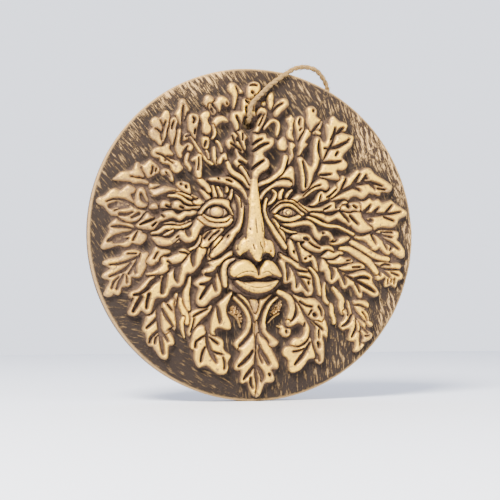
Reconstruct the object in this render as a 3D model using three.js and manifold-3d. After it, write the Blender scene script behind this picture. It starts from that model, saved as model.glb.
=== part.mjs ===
// A round cast wall plaque: the face of a green man made of oak leaves, and its hanging loop of jute twine.
// Millimetres, +Z up. The flat back lies in the plane y = 0 and the relief looks along -Y.
// The relief is drawn as it is seen from the front: u runs to the right along +X, v runs up along +Z.

import * as THREE from "three";
import { mergeVertices } from "three/addons/utils/BufferGeometryUtils.js";
import Module from "manifold-3d";

const wasm = await Module();
wasm.setup();

// Driving dimensions
const plaqueRadius = 100;
const plaqueThickness = 10;
const rimRounding = 1.6;
const reliefHeight = 14;
const reliefRoot = 2;
const hangingHoleRadius = 3.5;
const twineDiameter = 3;
const knotRadius = 3.7;

// How finely the round forms are cut
const rimSides = 48;
const holeSides = 12;
const bossSides = 10;
const bossRings = 3;
const knotSides = 8;
const knotRings = 6;
const spineSamples = 80;
const twineSides = 8;
const twineStep = 2.4 * twineDiameter;
const mergeDistance = 1e-4;

// The carving is drawn on a plaque of 100 mm radius, with a nose 14 mm high, and follows the real sizes
const drawnRadius = 100;
const drawnHeight = 14;
const carve = plaqueRadius / drawnRadius;
const lift = reliefHeight / drawnHeight;

// How every oak leaf is drawn: shares of its midrib's length, or of the web between two of its veins
const veinLean = 0.85;
const firstVein = 0.04;
const lastVein = 0.93;
const ribEnd = 0.95;
const rootSpacing = 0.6;
const webShoulder = { out: 0.84, over: 0.36 };
const webSinus = 0.55;
const hollowReach = 0.72;
const stemHalfWidth = 1.3;
const leastRib = 1.5;
const veinDepth = 1.6;

// How every band is drawn, as shares of its half width
const bandCrown = 0.6;
const bandEnd = 0.6;

// How high the cap of a boss is, as a share of its smaller half width
const bossCap = 0.7;

// The face swells towards its middle
const swellCentre = [-2.5, 2];
const swellReach = 62;
const swellHeight = 2.6;

// The hanging hole, in the crown of the brow
const hangingHole = [-4.5, 66];

// Each leaf from the back to the front: its height, its midrib from base to end, and the tips of its lobes
const leaves = {
  "far left up": {
    rise: 3.2,
    spine: [[-64, 13.8], [-72, 15], [-79, 17.5], [-86, 18.8], [-94.5, 16.5]],
    lobes: [[-69, 25], [-76.5, 26], [-84.5, 24], [-86, 10], [-78.5, 6.5], [-71.5, 6.5]],
  },
  "far left mid": {
    rise: 3.2,
    spine: [[-64, 3], [-73, 2], [-82, -1.5], [-91, -10]],
    lobes: [[-77, 6.5], [-86.5, 6], [-88.5, 0], [-83, -9.5], [-75.5, -8], [-67, -6.5]],
  },
  "far left low": {
    rise: 3.2,
    spine: [[-62, -10], [-70, -15.5], [-79, -22.5], [-87.5, -37]],
    lobes: [[-72, -10.5], [-82, -12.5], [-91, -18.5], [-91.5, -27], [-80, -35], [-73, -28.5],
      [-65, -20]],
  },
  "left high": {
    rise: 3.6,
    spine: [[-42, 22], [-50, 26], [-60, 29.5], [-70, 32], [-84, 31]],
    lobes: [[-54, 37.5], [-61, 39.5], [-66, 41.5], [-74, 39], [-79, 28], [-70, 26], [-60, 21]],
  },
  "upper left": {
    rise: 4.4,
    spine: [[-37, 28], [-44, 40], [-50, 49], [-53, 57], [-54.8, 71.5]],
    lobes: [[-57, 41], [-63.5, 46.5], [-64, 58], [-63.5, 66], [-49, 67.5], [-46.3, 60.5], [-39.8, 52]],
  },
  "upper left knobs": {
    rise: 4.4,
    spine: [[-37, 51], [-35, 60], [-34, 67], [-36, 71]],
    lobes: [[-40.5, 69.5], [-31.5, 72], [-28, 62]],
  },
  "top right leaf": {
    rise: 4.2,
    spine: [[21, 36], [25, 46], [25, 57], [24, 66], [23.5, 71]],
    lobes: [[16, 47], [18.4, 60], [17.5, 71], [28.5, 70]],
  },
  "top right knob": {
    rise: 4.6,
    spine: [[25, 44], [28, 53], [32.5, 63], [34, 77.5]],
    lobes: [[33, 54], [40.3, 69], [30.5, 68]],
  },
  "right low leaf": {
    rise: 3.6,
    spine: [[48, -29], [54, -36], [60, -43], [64, -54], [62, -70.5]],
    lobes: [[52.5, -47], [53, -58], [57, -65.5], [70.5, -43.5], [73, -54], [72.5, -62]],
  },
  "left low leaf": {
    rise: 3.8,
    spine: [[-55, -38], [-58, -47], [-58, -60], [-54.5, -74]],
    lobes: [[-67, -46], [-68, -57], [-65, -67], [-49.5, -46], [-48.3, -57], [-49.3, -67]],
  },
  "far right low": {
    rise: 3.4,
    spine: [[57, -9], [66, -13], [76, -19], [85, -24], [90.5, -31]],
    lobes: [[84, -14], [91.8, -19], [92.5, -26], [83, -31], [76.5, -27], [69, -20]],
  },
  "far right mid": {
    rise: 3.6,
    spine: [[60, 2], [70, 1.5], [80, -2], [92.5, -13.5]],
    lobes: [[78, 3], [89, 3], [93.5, -6], [84, -11.5], [75.5, -9], [67, -5.5]],
  },
  "far right up": {
    rise: 4,
    spine: [[62, 11.5], [72, 12.3], [83, 13.5], [95, 14.5]],
    lobes: [[72, 21], [79, 21.5], [87, 20.5], [89.5, 8.5], [83, 4], [73.5, 3.5]],
  },
  "right high": {
    rise: 4.8,
    spine: [[33, 18], [45, 23], [56, 28], [68, 32], [85.5, 27.8]],
    lobes: [[40, 26], [54, 36], [63, 39], [71.5, 41.5], [79, 26.5], [70, 23], [61, 22], [52, 20]],
  },
  "upper right": {
    rise: 5.4,
    spine: [[27, 24], [35, 33], [41.3, 42.5], [46.4, 52], [48.8, 62], [48, 72.5]],
    lobes: [[26.8, 46], [38.3, 59], [43.8, 67.5], [57, 67], [60.8, 59.5], [57.3, 44], [51, 36]],
  },
  "right diagonal": {
    rise: 4.8,
    spine: [[20, -3], [31, -10.5], [42, -17], [54, -24], [65, -30.5], [76.5, -36]],
    lobes: [[48, -9], [60, -14.5], [68, -19], [73.5, -26], [39, -22.5], [47, -29.5], [55.5, -33],
      [65.5, -39]],
  },
  "left diagonal": {
    rise: 5,
    spine: [[-24, 1], [-31, -7], [-39, -14], [-48, -19], [-57, -26], [-66, -34.5], [-75, -48.5]],
    lobes: [[-46, -10.5], [-57, -15.5], [-66, -25], [-76, -36], [-38.5, -24], [-46.5, -32], [-56, -39],
      [-66.5, -47.5]],
  },
  "left front": {
    rise: 5.4,
    spine: [[-36, 12], [-45, 13.4], [-57, 12.8], [-64, 8], [-71, 3.5]],
    lobes: [[-47, 18.5], [-55.5, 18], [-63, 15.5], [-62, 1.5], [-53, 6], [-46, 7]],
  },
  "right front": {
    rise: 5.6,
    spine: [[34, 13.5], [43, 13.6], [52, 15], [60, 9.5], [72, 4.5]],
    lobes: [[46, 20], [54.5, 20.3], [63, 19.5], [67, 10], [61, 2], [52, 7.5], [44, 8]],
  },
  "moustache left": {
    rise: 5.6,
    spine: [[-20, -16], [-24.7, -22], [-29, -30], [-34.5, -43.5]],
    lobes: [[-33, -22.5], [-37.5, -30], [-37, -38], [-21.8, -34.5], [-26.5, -40]],
  },
  "moustache right": {
    rise: 5.6,
    spine: [[15, -14], [21, -20.5], [25.5, -27.5], [31.5, -37]],
    lobes: [[28, -20.5], [33.5, -24.5], [35, -32], [18, -29.5], [24.5, -35.5]],
  },
  "beard left": {
    rise: 5.2,
    spine: [[-22, -36], [-26, -43], [-29.5, -52], [-28.5, -63], [-21, -84]],
    lobes: [[-40, -47], [-41.3, -60], [-39.5, -69.5], [-34.5, -79], [-18, -65], [-15.8, -74.5]],
  },
  "beard right": {
    rise: 5.2,
    spine: [[22, -37], [29, -46], [34, -54], [31.5, -66], [22.5, -83]],
    lobes: [[41.5, -47], [43.6, -60.5], [41.5, -70], [38.5, -78.5], [17, -70]],
  },
  "beard middle": {
    rise: 6,
    spine: [[-0.4, -50], [-0.3, -65], [0, -80], [0.2, -97]],
    lobes: [[-14, -66.5], [-13.5, -80.5], [-9.5, -88.5], [13.2, -65.5], [13.7, -80], [10.5, -87.8]],
  },
  "crown": {
    rise: 6,
    spine: [[-3.4, 30], [-4, 42], [-4.4, 53], [-4.8, 62]],
    lobes: [[-14.6, 42.3], [-19.3, 53.5], [7, 43], [10.7, 57]],
  },
};

// Each tendril, fold and small form: its height, its path, and its half width at each point of the path
const bands = {
  "under eye left low": {
    rise: 5,
    path: [[-36, 6], [-37, -1], [-42, -4.2], [-47, -2.2], [-54, -6.8], [-62, -4.5]],
    radii: [2.4, 2.2, 2, 1.8, 2.2, 1.6],
  },
  "cheek left": {
    rise: 5.4,
    path: [[-13.2, 22.7], [-9.6, 14], [-9.3, 7.5], [-12.5, 1.2], [-18.5, -4.5], [-27, -13]],
    radii: [1.3, 1.4, 1.6, 2.2, 2.8, 2.4],
  },
  "cheek left fold": {
    rise: 4.6,
    path: [[-12.5, -10.5], [-19, -14], [-26, -19.5], [-31.5, -23]],
    radii: [1.2, 1.7, 2.2, 1.8],
  },
  "inner left arch": {
    rise: 4.6,
    path: [[-28, 27.5], [-33, 31.5], [-35.3, 37], [-34.6, 42], [-35.6, 45], [-39.5, 42]],
    radii: [2, 2, 1.9, 1.9, 1.9, 1.6],
  },
  "inner left finger": {
    rise: 4.2,
    path: [[-15.6, 36.9], [-17.8, 41], [-19.3, 45], [-23, 42]],
    radii: [1.2, 1.4, 1.7, 1.5],
  },
  "hood arch": {
    rise: 3.6,
    path: [[-26.6, 64], [-25.3, 67], [-22.3, 68.3], [-18.7, 67]],
    radii: [1.2, 1.9, 2, 1.2],
  },
  "knob a": { rise: 3.4, path: [[-25.6, 71.5], [-27.5, 76], [-29.7, 79.3]], radii: [1.2, 1.8, 2.7] },
  "knob b": { rise: 3.6, path: [[-22.8, 74], [-22.8, 78], [-19.3, 78.8]], radii: [1.8, 2.6, 2.6] },
  "tulip": { rise: 3.4, path: [[-13.7, 75], [-14, 82], [-15.6, 87.3]], radii: [0.7, 2, 3] },
  "top knob": { rise: 4.4, path: [[-3.6, 80], [-2.5, 86]], radii: [2.2, 3.9] },
  "crown top": { rise: 5.2, path: [[-8.5, 72], [-7.5, 78], [-4, 78]], radii: [2.6, 2.6, 2.4] },
  "crown top bridge": { rise: 5, path: [[-14.5, 69.5], [-9, 71.5], [-3, 73.5]], radii: [2.4, 2.6, 2.4] },
  "crown left finger": { rise: 5.2, path: [[-8, 57], [-11.5, 63], [-14.3, 69]], radii: [1.6, 2.2, 2.8] },
  "crown right finger": {
    rise: 5.2,
    path: [[-1, 58.5], [2.6, 65], [4.6, 71.5], [2, 73.8]],
    radii: [1.4, 1.8, 1.9, 1.5],
  },
  "crown left upper": { rise: 5.2, path: [[-7, 50], [-11, 55], [-15.5, 58.5]], radii: [1.3, 1.9, 2.1] },
  "check short": { rise: 3.6, path: [[9.4, 75.5], [8.6, 80.5]], radii: [1.6, 1.5] },
  "check long": { rise: 3.8, path: [[11.8, 72.5], [15, 77], [18.2, 79.6]], radii: [1.3, 1.9, 2.1] },
  "brow left": {
    rise: 6,
    path: [[-4, 20], [-8.5, 26.5], [-15.5, 30], [-23.5, 31], [-29.5, 31.8]],
    radii: [2.4, 2.2, 2.1, 2, 1.4],
  },
  "branch left": {
    rise: 5.6,
    path: [[-4, 25], [-8.5, 31.5], [-14.5, 36], [-18.5, 39]],
    radii: [1.8, 1.5, 1.3, 0.9],
  },
  "brow left lobe": {
    rise: 4.6,
    path: [[-19.5, 34.8], [-23.5, 36], [-27.2, 36.8]],
    radii: [1.2, 2, 1.9],
  },
  "brow right": {
    rise: 6,
    path: [[1, 20], [5.5, 26.5], [12, 29.7], [20.8, 30.3]],
    radii: [2.4, 2.2, 2, 2.2],
  },
  "brow right tip": { rise: 5.6, path: [[20.2, 31], [20.8, 35], [22.2, 39.4]], radii: [2.3, 2, 0.9] },
  "branch right": {
    rise: 5.2,
    path: [[0, 29.5], [7.5, 32.6], [13.5, 37], [17, 42], [17.2, 46.3]],
    radii: [1.5, 1.2, 1.2, 1.3, 1.5],
  },
  "temple left a": {
    rise: 4.2,
    path: [[-31, 18], [-38, 19], [-45, 21.5], [-52, 24]],
    radii: [1.3, 1.6, 1.4, 0.9],
  },
  "narrow left a": {
    rise: 4,
    path: [[-41.2, -28.7], [-43, -36], [-41.5, -44.8]],
    radii: [0.9, 1.6, 1.5],
  },
  "beard left hook": {
    rise: 5.4,
    path: [[-13.5, -34.5], [-18, -39], [-19.4, -46], [-17.6, -54], [-21, -56.5]],
    radii: [1.4, 2, 2.2, 2.6, 1.6],
  },
  "beard right hook": {
    rise: 5.4,
    path: [[11, -33.5], [17, -37], [20.6, -43], [20.3, -51], [20.5, -54]],
    radii: [1.4, 2, 2, 2, 2],
  },
  "beard right ring": {
    rise: 5,
    path: [[24.5, -42.5], [27.5, -51], [30, -57.5], [28, -62.5], [21, -66]],
    radii: [0.9, 2.6, 2.6, 2.2, 2],
  },
  "beard band left": {
    rise: 5.6,
    path: [[-15, -38.6], [-10.5, -42.5], [-6.2, -48.3], [-5.6, -54], [-8, -60], [-13, -64.8]],
    radii: [1.1, 1.3, 1.6, 2, 2.4, 2.4],
  },
  "beard band right": {
    rise: 5.6,
    path: [[12.1, -38], [8.2, -42], [4.9, -47.2], [4.4, -53.5], [7, -59.5], [12, -64]],
    radii: [1.1, 1.3, 1.6, 2, 2.4, 2.4],
  },
  "chin left": {
    rise: 6.2,
    path: [[-10, -37], [-6, -41.5], [-2.9, -46], [-1, -52]],
    radii: [1.2, 1.4, 1.5, 0.8],
  },
  "chin right": {
    rise: 6.2,
    path: [[9, -37], [5, -40.3], [2.2, -44.5], [0.4, -52]],
    radii: [1.2, 1.4, 1.5, 0.8],
  },
  "moustache left band": {
    rise: 6,
    path: [[-14, -16.5], [-19.6, -20.5], [-20.6, -26], [-19.2, -31.5]],
    radii: [1.3, 1.8, 1.9, 1.7],
  },
  "moustache right band": {
    rise: 6,
    path: [[10, -14.5], [15, -19], [17, -24.5], [17.4, -28.8]],
    radii: [1.2, 1.6, 1.8, 1.7],
  },
  "narrow right a": { rise: 4.2, path: [[32.5, -21.4], [37, -27], [39.5, -35]], radii: [0.8, 1.4, 1.5] },
  "cheek right band": {
    rise: 5.4,
    path: [[5, 20.4], [4.6, 14], [6, 6.5], [10.5, -1], [16.2, -9]],
    radii: [1, 1.2, 1.3, 1.5, 1.7],
  },
  "cheek right three": {
    rise: 4.8,
    path: [[19.5, -4], [22, -10], [24, -14], [26, -19]],
    radii: [0.9, 1.8, 1.8, 1.2],
  },
  "cheek right four": {
    rise: 5,
    path: [[12.5, -12], [19, -15.5], [25, -19.5], [30.5, -22.3]],
    radii: [1, 1.3, 1.6, 1.4],
  },
  "cheek right five": {
    rise: 4.6,
    path: [[24, -7], [31, -12.5], [35.5, -17], [37.5, -21.5]],
    radii: [1, 2.2, 2.2, 1.3],
  },
  "cheek right six": {
    rise: 5,
    path: [[21, -1.8], [28, -1.8], [34, -6.5], [40, -9], [46.5, -8.3]],
    radii: [1.4, 1.8, 2.2, 1.7, 1.5],
  },
  "under eye right a": {
    rise: 5,
    path: [[13, 6.8], [23.4, 6.2], [31, 6.2], [34.8, 2.5], [37, -2], [41, 0.8], [44.5, -0.5],
      [47.5, -4.5], [53, -4.3], [57.5, -2.2]],
    radii: [1.1, 1.5, 1.7, 1.8, 1.9, 1.8, 1.7, 1.7, 1.8, 1.3],
  },
  "long right": {
    rise: 4.6,
    path: [[30, 9.5], [36, 8.8], [41, 5.5], [47, 5.5], [52, 4], [59, 1], [67, -1]],
    radii: [1.2, 1.1, 1.1, 1.3, 1.1, 1.1, 1.5],
  },
  "right upper band": {
    rise: 3.8,
    path: [[59.5, -4.5], [66, -8], [72, -11.5], [82, -15]],
    radii: [1, 1.7, 1.6, 1.4],
  },
  "right lower band": {
    rise: 3.8,
    path: [[53, -8], [60, -9], [67, -13.3], [73, -19], [76, -26]],
    radii: [1, 1.4, 1.4, 1.4, 1.4],
  },
  "tuft left 1": { rise: 4.8, path: [[-36, 24.8], [-32.5, 21.5], [-29, 18.8]], radii: [1, 2.2, 2] },
  "tuft left 2": { rise: 4.6, path: [[-25.6, 19.2], [-26, 23], [-27.3, 27]], radii: [1.8, 1.3, 0.7] },
  "tuft right hook": {
    rise: 4.4,
    path: [[7.4, 17.6], [10.3, 20.5], [10.6, 24], [9.2, 26.2]],
    radii: [0.9, 1, 0.9, 0.6],
  },
  "tuft right 2": { rise: 4.6, path: [[14, 19.5], [14.2, 22.8], [15.6, 26.4]], radii: [1.5, 1.1, 0.6] },
  "nose trunk": {
    rise: 7,
    growth: 4.2,
    path: [[-3.2, 31], [-2.8, 20], [-2.9, 8], [-3, -3], [-2.6, -12]],
    radii: [3, 3.5, 4.4, 5.2, 4.6],
  },
  "temple right": { rise: 5, path: [[28.5, 13.5], [33, 12.8], [38, 12.5]], radii: [1.8, 1.6, 1] },
  "lid left upper": {
    rise: 5.9,
    path: [[-34.5, 11.2], [-30.5, 15], [-24.8, 17.2], [-19.5, 15.6], [-15.2, 10.6]],
    radii: [1, 1.3, 1.4, 1.3, 0.9],
  },
  "lid left lower": {
    rise: 5.6,
    path: [[-34, 10.4], [-30.5, 8], [-25, 6.8], [-19.5, 7.4], [-15.6, 10]],
    radii: [0.9, 1.1, 1.2, 1.1, 0.8],
  },
  "lid right upper": {
    rise: 5.9,
    path: [[9.6, 12.4], [13.5, 15.8], [18.4, 17.3], [23, 15.6], [27.5, 12]],
    radii: [0.9, 1.1, 1.2, 1.1, 0.9],
  },
  "lid right lower": {
    rise: 5.6,
    path: [[10, 11.4], [14, 9], [18.8, 8.2], [23.4, 9.2], [28, 11.8]],
    radii: [0.8, 1, 1.1, 1, 0.9],
  },
  "upper lip left": {
    rise: 8.6,
    path: [[-17.2, -25], [-12.8, -21.4], [-8, -19.8], [-1.2, -22.6]],
    radii: [1, 3, 3.5, 2.4],
  },
  "upper lip right": {
    rise: 8.6,
    path: [[13.8, -24.8], [10, -21.4], [5.4, -19.8], [-0.4, -22.6]],
    radii: [1, 2.8, 3.4, 2.4],
  },
  "upper lip edge": {
    rise: 8.2,
    path: [[-16, -26], [-9, -24.8], [-1, -25.4], [7, -24.8], [12.6, -25.8]],
    radii: [0.7, 1.4, 1.6, 1.4, 0.7],
  },
  "lower lip": {
    rise: 8,
    path: [[-14.5, -28.6], [-8, -31], [-1, -32.2], [6, -31], [12.4, -28.6]],
    radii: [0.8, 2.2, 2.9, 2.2, 0.8],
  },
  "lower lip fold": {
    rise: 5.6,
    path: [[-13, -31.5], [-7, -35.2], [-0.8, -36.6], [5.6, -35.2], [11.4, -31.5]],
    radii: [0.8, 1.4, 1.6, 1.4, 0.8],
  },
};

// Each rounded form of the face: its height, centre, half widths across and up, and turn in degrees
const bosses = {
  "eye plate left": { rise: 3.9, centre: [-25.5, 12.5], radii: [12.5, 8.6], turn: 0 },
  "eye plate right": { rise: 3.9, centre: [19, 13], radii: [12, 7.6], turn: 0 },
  "nose wing left": { rise: 8.4, centre: [-10, -8.6], radii: [3.9, 5.2], turn: 12 },
  "nose wing right": { rise: 8.4, centre: [5.9, -8.2], radii: [3.7, 5], turn: -12 },
  "nose tip": { rise: 11.6, centre: [-2.2, -10.5], radii: [5.6, 6.6], turn: 0 },
  "chin": { rise: 4.6, centre: [-0.8, -40.5], radii: [8.5, 6], turn: 0 },
  "cheek left": { rise: 3.6, centre: [-20, -8], radii: [11, 9], turn: 40 },
  "eyeball left": { rise: 5, centre: [-24.7, 11.9], radii: [8, 4.3], turn: 0 },
  "iris left": { rise: 5.8, centre: [-25, 12.2], radii: [3.9, 3.9], turn: 0 },
  "eyeball right": { rise: 5, centre: [18.4, 12.6], radii: [6.8, 3.6], turn: 0 },
  "iris right": { rise: 5.6, centre: [18.6, 12.9], radii: [2.7, 2.7], turn: 0 },
};

// The low mound that carries the face, under the leaves
const faceMound = { rise: 3, centre: [-2.5, 0], radii: [30, 38], turn: 0 };

function clamp(value, least, most) {
  return Math.min(Math.max(value, least), most);
}

function swell(u, v) {
  const share = ((u - swellCentre[0]) / swellReach) ** 2 + ((v - swellCentre[1]) / swellReach) ** 2;
  return swellHeight * Math.max(0, 1 - share);
}

// A point of the drawing at a height over the ground of the relief
function toSpace(u, v, height) {
  return [u * carve, -(plaqueThickness + height * lift), v * carve];
}

function curveThrough(points) {
  return new THREE.SplineCurve(points.map(([u, v]) => new THREE.Vector2(u, v)));
}

function leftOf(direction) {
  return new THREE.Vector2(-direction.y, direction.x);
}

// A solid from loose triangles
function solidFrom(positions, triangles) {
  const mesh = new wasm.Mesh({
    numProp: 3,
    vertProperties: new Float32Array(positions),
    triVerts: new Uint32Array(triangles),
  });
  return new wasm.Manifold(mesh);
}

function solidFromGeometry(geometry) {
  const bare = geometry.clone();
  bare.deleteAttribute("normal");
  bare.deleteAttribute("uv");
  const merged = mergeVertices(bare, mergeDistance);
  return solidFrom(merged.attributes.position.array, merged.index.array);
}

// A form drawn in plan: points with heights, triangles that turn left, and the outline around them
class PlanForm {
  constructor() {
    this.points = [];
    this.roots = [];
    this.triangles = [];
  }

  add(point, height, root = point) {
    this.points.push([point.x, point.y, height + swell(point.x, point.y)]);
    this.roots.push([root.x, root.y]);
    return this.points.length - 1;
  }

  // A point of a band's edge, which stands further out at its root
  addDrafted(middle, offset, height) {
    return this.add(middle.clone().addScaledVector(offset, bandCrown), height, middle.clone().add(offset));
  }

  triangle(a, b, c) {
    const [p, q, r] = [a, b, c].map((i) => this.points[i]);
    const turnsLeft = (q[0] - p[0]) * (r[1] - p[1]) > (q[1] - p[1]) * (r[0] - p[0]);
    this.triangles.push(turnsLeft ? [a, b, c] : [a, c, b]);
  }

  // A loop of points is filled with triangles
  fill(loop) {
    const contour = loop.map((i) => new THREE.Vector2(this.points[i][0], this.points[i][1]));
    for (const [a, b, c] of THREE.ShapeUtils.triangulateShape(contour, [])) {
      this.triangle(loop[a], loop[b], loop[c]);
    }
  }

  // A loop is filled with triangles that meet in a point inside it
  fan(middle, loop) {
    loop.forEach((from, i) => this.triangle(middle, from, loop[(i + 1) % loop.length]));
  }

  // The form stands on the slab, with its sides running down to its roots
  raise(outline) {
    const count = this.points.length;
    const top = this.points.flatMap(([u, v, height]) => toSpace(u, v, height));
    const root = this.roots.flatMap(([u, v]) => toSpace(u, v, -reliefRoot / lift));
    const faces = [];
    for (const [a, b, c] of this.triangles) {
      faces.push(a, b, c, count + a, count + c, count + b);
    }
    outline.forEach((from, i) => {
      const to = outline[(i + 1) % outline.length];
      faces.push(from, count + from, count + to, from, count + to, to);
    });
    return solidFrom([...top, ...root], faces);
  }
}

// A lobe's tip, the side of the midrib that it is on, and how far along the midrib its vein leaves
function rootLobe(spine, length, [u, v]) {
  const tip = new THREE.Vector2(u, v);
  let beside = 0;
  for (let i = 1; i <= spineSamples; i++) {
    if (spine.getPointAt(i / spineSamples).distanceTo(tip) < spine.getPointAt(beside).distanceTo(tip)) {
      beside = i / spineSamples;
    }
  }
  const foot = spine.getPointAt(beside);
  const side = spine.getTangentAt(beside).cross(tip.clone().sub(foot)) > 0 ? 1 : -1;
  const along = clamp(beside - (foot.distanceTo(tip) * veinLean) / length, firstVein, lastVein);
  return { tip, side, beside, along };
}

// On each side the veins leave in the order of their tips, with a share of the tips' spacing between them
function spreadRoots(lobes) {
  for (const side of [1, -1]) {
    const own = lobes.filter((lobe) => lobe.side === side).sort((a, b) => a.beside - b.beside);
    for (let i = 1; i < own.length; i++) {
      const room = rootSpacing * (own[i].beside - own[i - 1].beside);
      own[i].along = Math.min(Math.max(own[i].along, own[i - 1].along + room), lastVein);
    }
  }
  return lobes.sort((a, b) => a.along - b.along);
}

// A point in the web between two veins: a share of the way out along them, and a share across between them
function inWeb(first, second, out, over) {
  const from = first.root.clone().lerp(first.tip, out);
  return from.lerp(second.root.clone().lerp(second.tip, out), over);
}

// One oak leaf: a raised rim that runs in and out around its lobes, with sunken veins
function oakLeaf({ rise, spine: spinePoints, lobes: lobeTips }) {
  const spine = curveThrough(spinePoints);
  const length = spine.getLength();
  const lobes = spreadRoots(lobeTips.map((tip) => rootLobe(spine, length, tip)));

  // The midrib has a vertex wherever a vein leaves it, and one near its end
  const least = leastRib / length;
  const stations = [0];
  for (const lobe of lobes) {
    if (lobe.along - stations.at(-1) > least) {
      stations.push(lobe.along);
    }
    lobe.station = stations.length - 1;
    lobe.root = spine.getPointAt(stations.at(-1));
  }
  stations.push(Math.max(ribEnd, stations.at(-1) + least / 2));

  const form = new PlanForm();
  const rib = stations.map((along) => form.add(spine.getPointAt(along), rise - veinDepth));
  const end = { root: spine.getPointAt(stations.at(-1)), tip: spine.getPointAt(1), station: rib.length - 1 };
  const endPoint = form.add(end.tip, rise);
  const rims = {};

  for (const side of [1, -1]) {
    const rim = [];
    const addRim = (point) => {
      rim.push(form.add(point, rise));
      return rim.at(-1);
    };
    const own = lobes.filter((lobe) => lobe.side === side);
    const across = leftOf(spine.getTangentAt(0)).multiplyScalar(side);
    let behind = [addRim(spine.getPointAt(0).addScaledVector(across, stemHalfWidth))];
    let station = 0;

    own.forEach((lobe, i) => {
      const next = own[i + 1] ?? end;
      const far = inWeb(lobe, next, webShoulder.out, webShoulder.over);
      const vein = lobe.tip.clone().sub(lobe.root).normalize();
      const toFar = far.clone().sub(lobe.root);
      const mirrored = far.clone().addScaledVector(leftOf(vein), -2 * leftOf(vein).dot(toFar));
      const near = i > 0 ? inWeb(own[i - 1], lobe, webShoulder.out, 1 - webShoulder.over) : mirrored;
      const nearPoint = addRim(near);
      const tipPoint = addRim(lobe.tip);
      const farPoint = addRim(far);
      const hollow = form.add(lobe.root.clone().lerp(lobe.tip, hollowReach), rise - veinDepth);
      form.fill([...rib.slice(station, lobe.station + 1), nearPoint, ...behind]);
      form.fan(hollow, [rib[lobe.station], farPoint, tipPoint, nearPoint]);
      behind = [addRim(inWeb(lobe, next, webSinus, 0.5)), farPoint];
      station = lobe.station;
    });

    behind.unshift(addRim(inWeb(own.at(-1), end, webShoulder.out, 1 - webShoulder.over)));
    form.fill([...rib.slice(station), endPoint, ...behind]);
    rims[side] = rim;
  }
  return form.raise([rib[0], ...rims[-1], endPoint, ...rims[1].reverse()]);
}

// One raised band along a path, with its own half width at each point: narrower above than at its root
function raisedBand({ rise, growth = 0, path, radii }) {
  const curve = curveThrough(path);
  const form = new PlanForm();
  const last = path.length - 1;
  const edges = { left: [], right: [] };
  path.forEach((point, i) => {
    const heading = curve.getTangent(i / last);
    const end = i === 0 ? -1 : Math.floor(i / last);
    const middle = new THREE.Vector2(...point).addScaledVector(heading, end * bandEnd * radii[i]);
    const offset = leftOf(heading).multiplyScalar(radii[i]);
    const height = rise + growth * (i / last);
    edges.left.push(form.addDrafted(middle, offset, height));
    edges.right.push(form.addDrafted(middle, offset.negate(), height));
  });
  for (let i = 0; i < last; i++) {
    form.fill([edges.right[i], edges.right[i + 1], edges.left[i + 1], edges.left[i]]);
  }
  return form.raise([...edges.right, ...edges.left.reverse()]);
}

// A rounded boss, such as an eyeball or a wing of the nose: straight sides under a rounded cap
function roundedBoss({ rise, centre: [u, v], radii: [across, up], turn }) {
  const top = rise + swell(u, v);
  const cap = Math.min(top, bossCap * Math.min(across, up));
  const root = -reliefRoot / lift;
  const profile = [new THREE.Vector2(0, root), new THREE.Vector2(1, root)];
  for (let i = bossRings; i >= 0; i--) {
    const angle = (Math.PI / 2) * (i / bossRings);
    profile.push(new THREE.Vector2(Math.sin(angle), top - cap + cap * Math.cos(angle)));
  }
  const geometry = new THREE.LatheGeometry(profile, bossSides);
  geometry.scale(across * carve, lift, up * carve);
  geometry.rotateX(Math.PI);
  geometry.rotateY(-THREE.MathUtils.degToRad(turn));
  geometry.translate(u * carve, -plaqueThickness, v * carve);
  return solidFromGeometry(geometry);
}

// The disc, with its front edge eased and its back sharp
function slab() {
  const profile = [
    [0, 0],
    [plaqueRadius, 0],
    [plaqueRadius, rimRounding - plaqueThickness],
    [plaqueRadius - rimRounding, -plaqueThickness],
    [0, -plaqueThickness],
  ];
  const corners = profile.map(([x, y]) => new THREE.Vector2(x, y)).reverse();
  return solidFromGeometry(new THREE.LatheGeometry(corners, rimSides));
}

function holeCutter() {
  const depth = 4 * (plaqueThickness + reliefHeight);
  const geometry = new THREE.CylinderGeometry(hangingHoleRadius, hangingHoleRadius, depth, holeSides);
  geometry.translate(hangingHole[0] * carve, 0, hangingHole[1] * carve);
  return solidFromGeometry(geometry);
}

function castPlaque() {
  const forms = [
    roundedBoss(faceMound),
    ...Object.values(leaves).map(oakLeaf),
    ...Object.values(bands).map(raisedBand),
    ...Object.values(bosses).map(roundedBoss),
  ];
  return forms.reduce((whole, form) => whole.add(form), slab()).subtract(holeCutter());
}

// The loop: out of the hole, over the crown and the rim, round in a standing arch and down behind the plaque
const loopRoute = [
  [0.4, 4.4, 61.4],
  [-2.6, 2.6, 64.3],
  [-4.3, -1.6, 65.9],
  [-4.5, -6.5, 66.0],
  [-4.6, -11.5, 66.2],
  [-5.0, -15.8, 67.8],
  [-5.7, -17.6, 71.6],
  [-5.2, -17.7, 75.5],
  [-2.6, -17.4, 78.9],
  [1.4, -16.0, 82.6],
  [5.4, -13.8, 86.6],
  [9.6, -12.4, 90.5],
  [15.7, -12.1, 95.2],
  [20.3, -11.3, 98.3],
  [24.1, -9.8, 100.8],
  [28.9, -8.0, 102.5],
  [34.2, -6.0, 103.1],
  [39.9, -4.0, 102.0],
  [44.5, -1.6, 98.7],
  [48.0, 0.9, 94.4],
  [49.2, 2.5, 89.5],
  [46.6, 2.6, 84.0],
  [40.5, 2.2, 78.6],
  [32.0, 2.1, 73.2],
  [23.0, 2.2, 67.6],
  [15.0, 2.9, 62.8],
  [8.6, 4.2, 59.2],
];
const knotCentre = [4.4, 5.6, 57.6];
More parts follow.
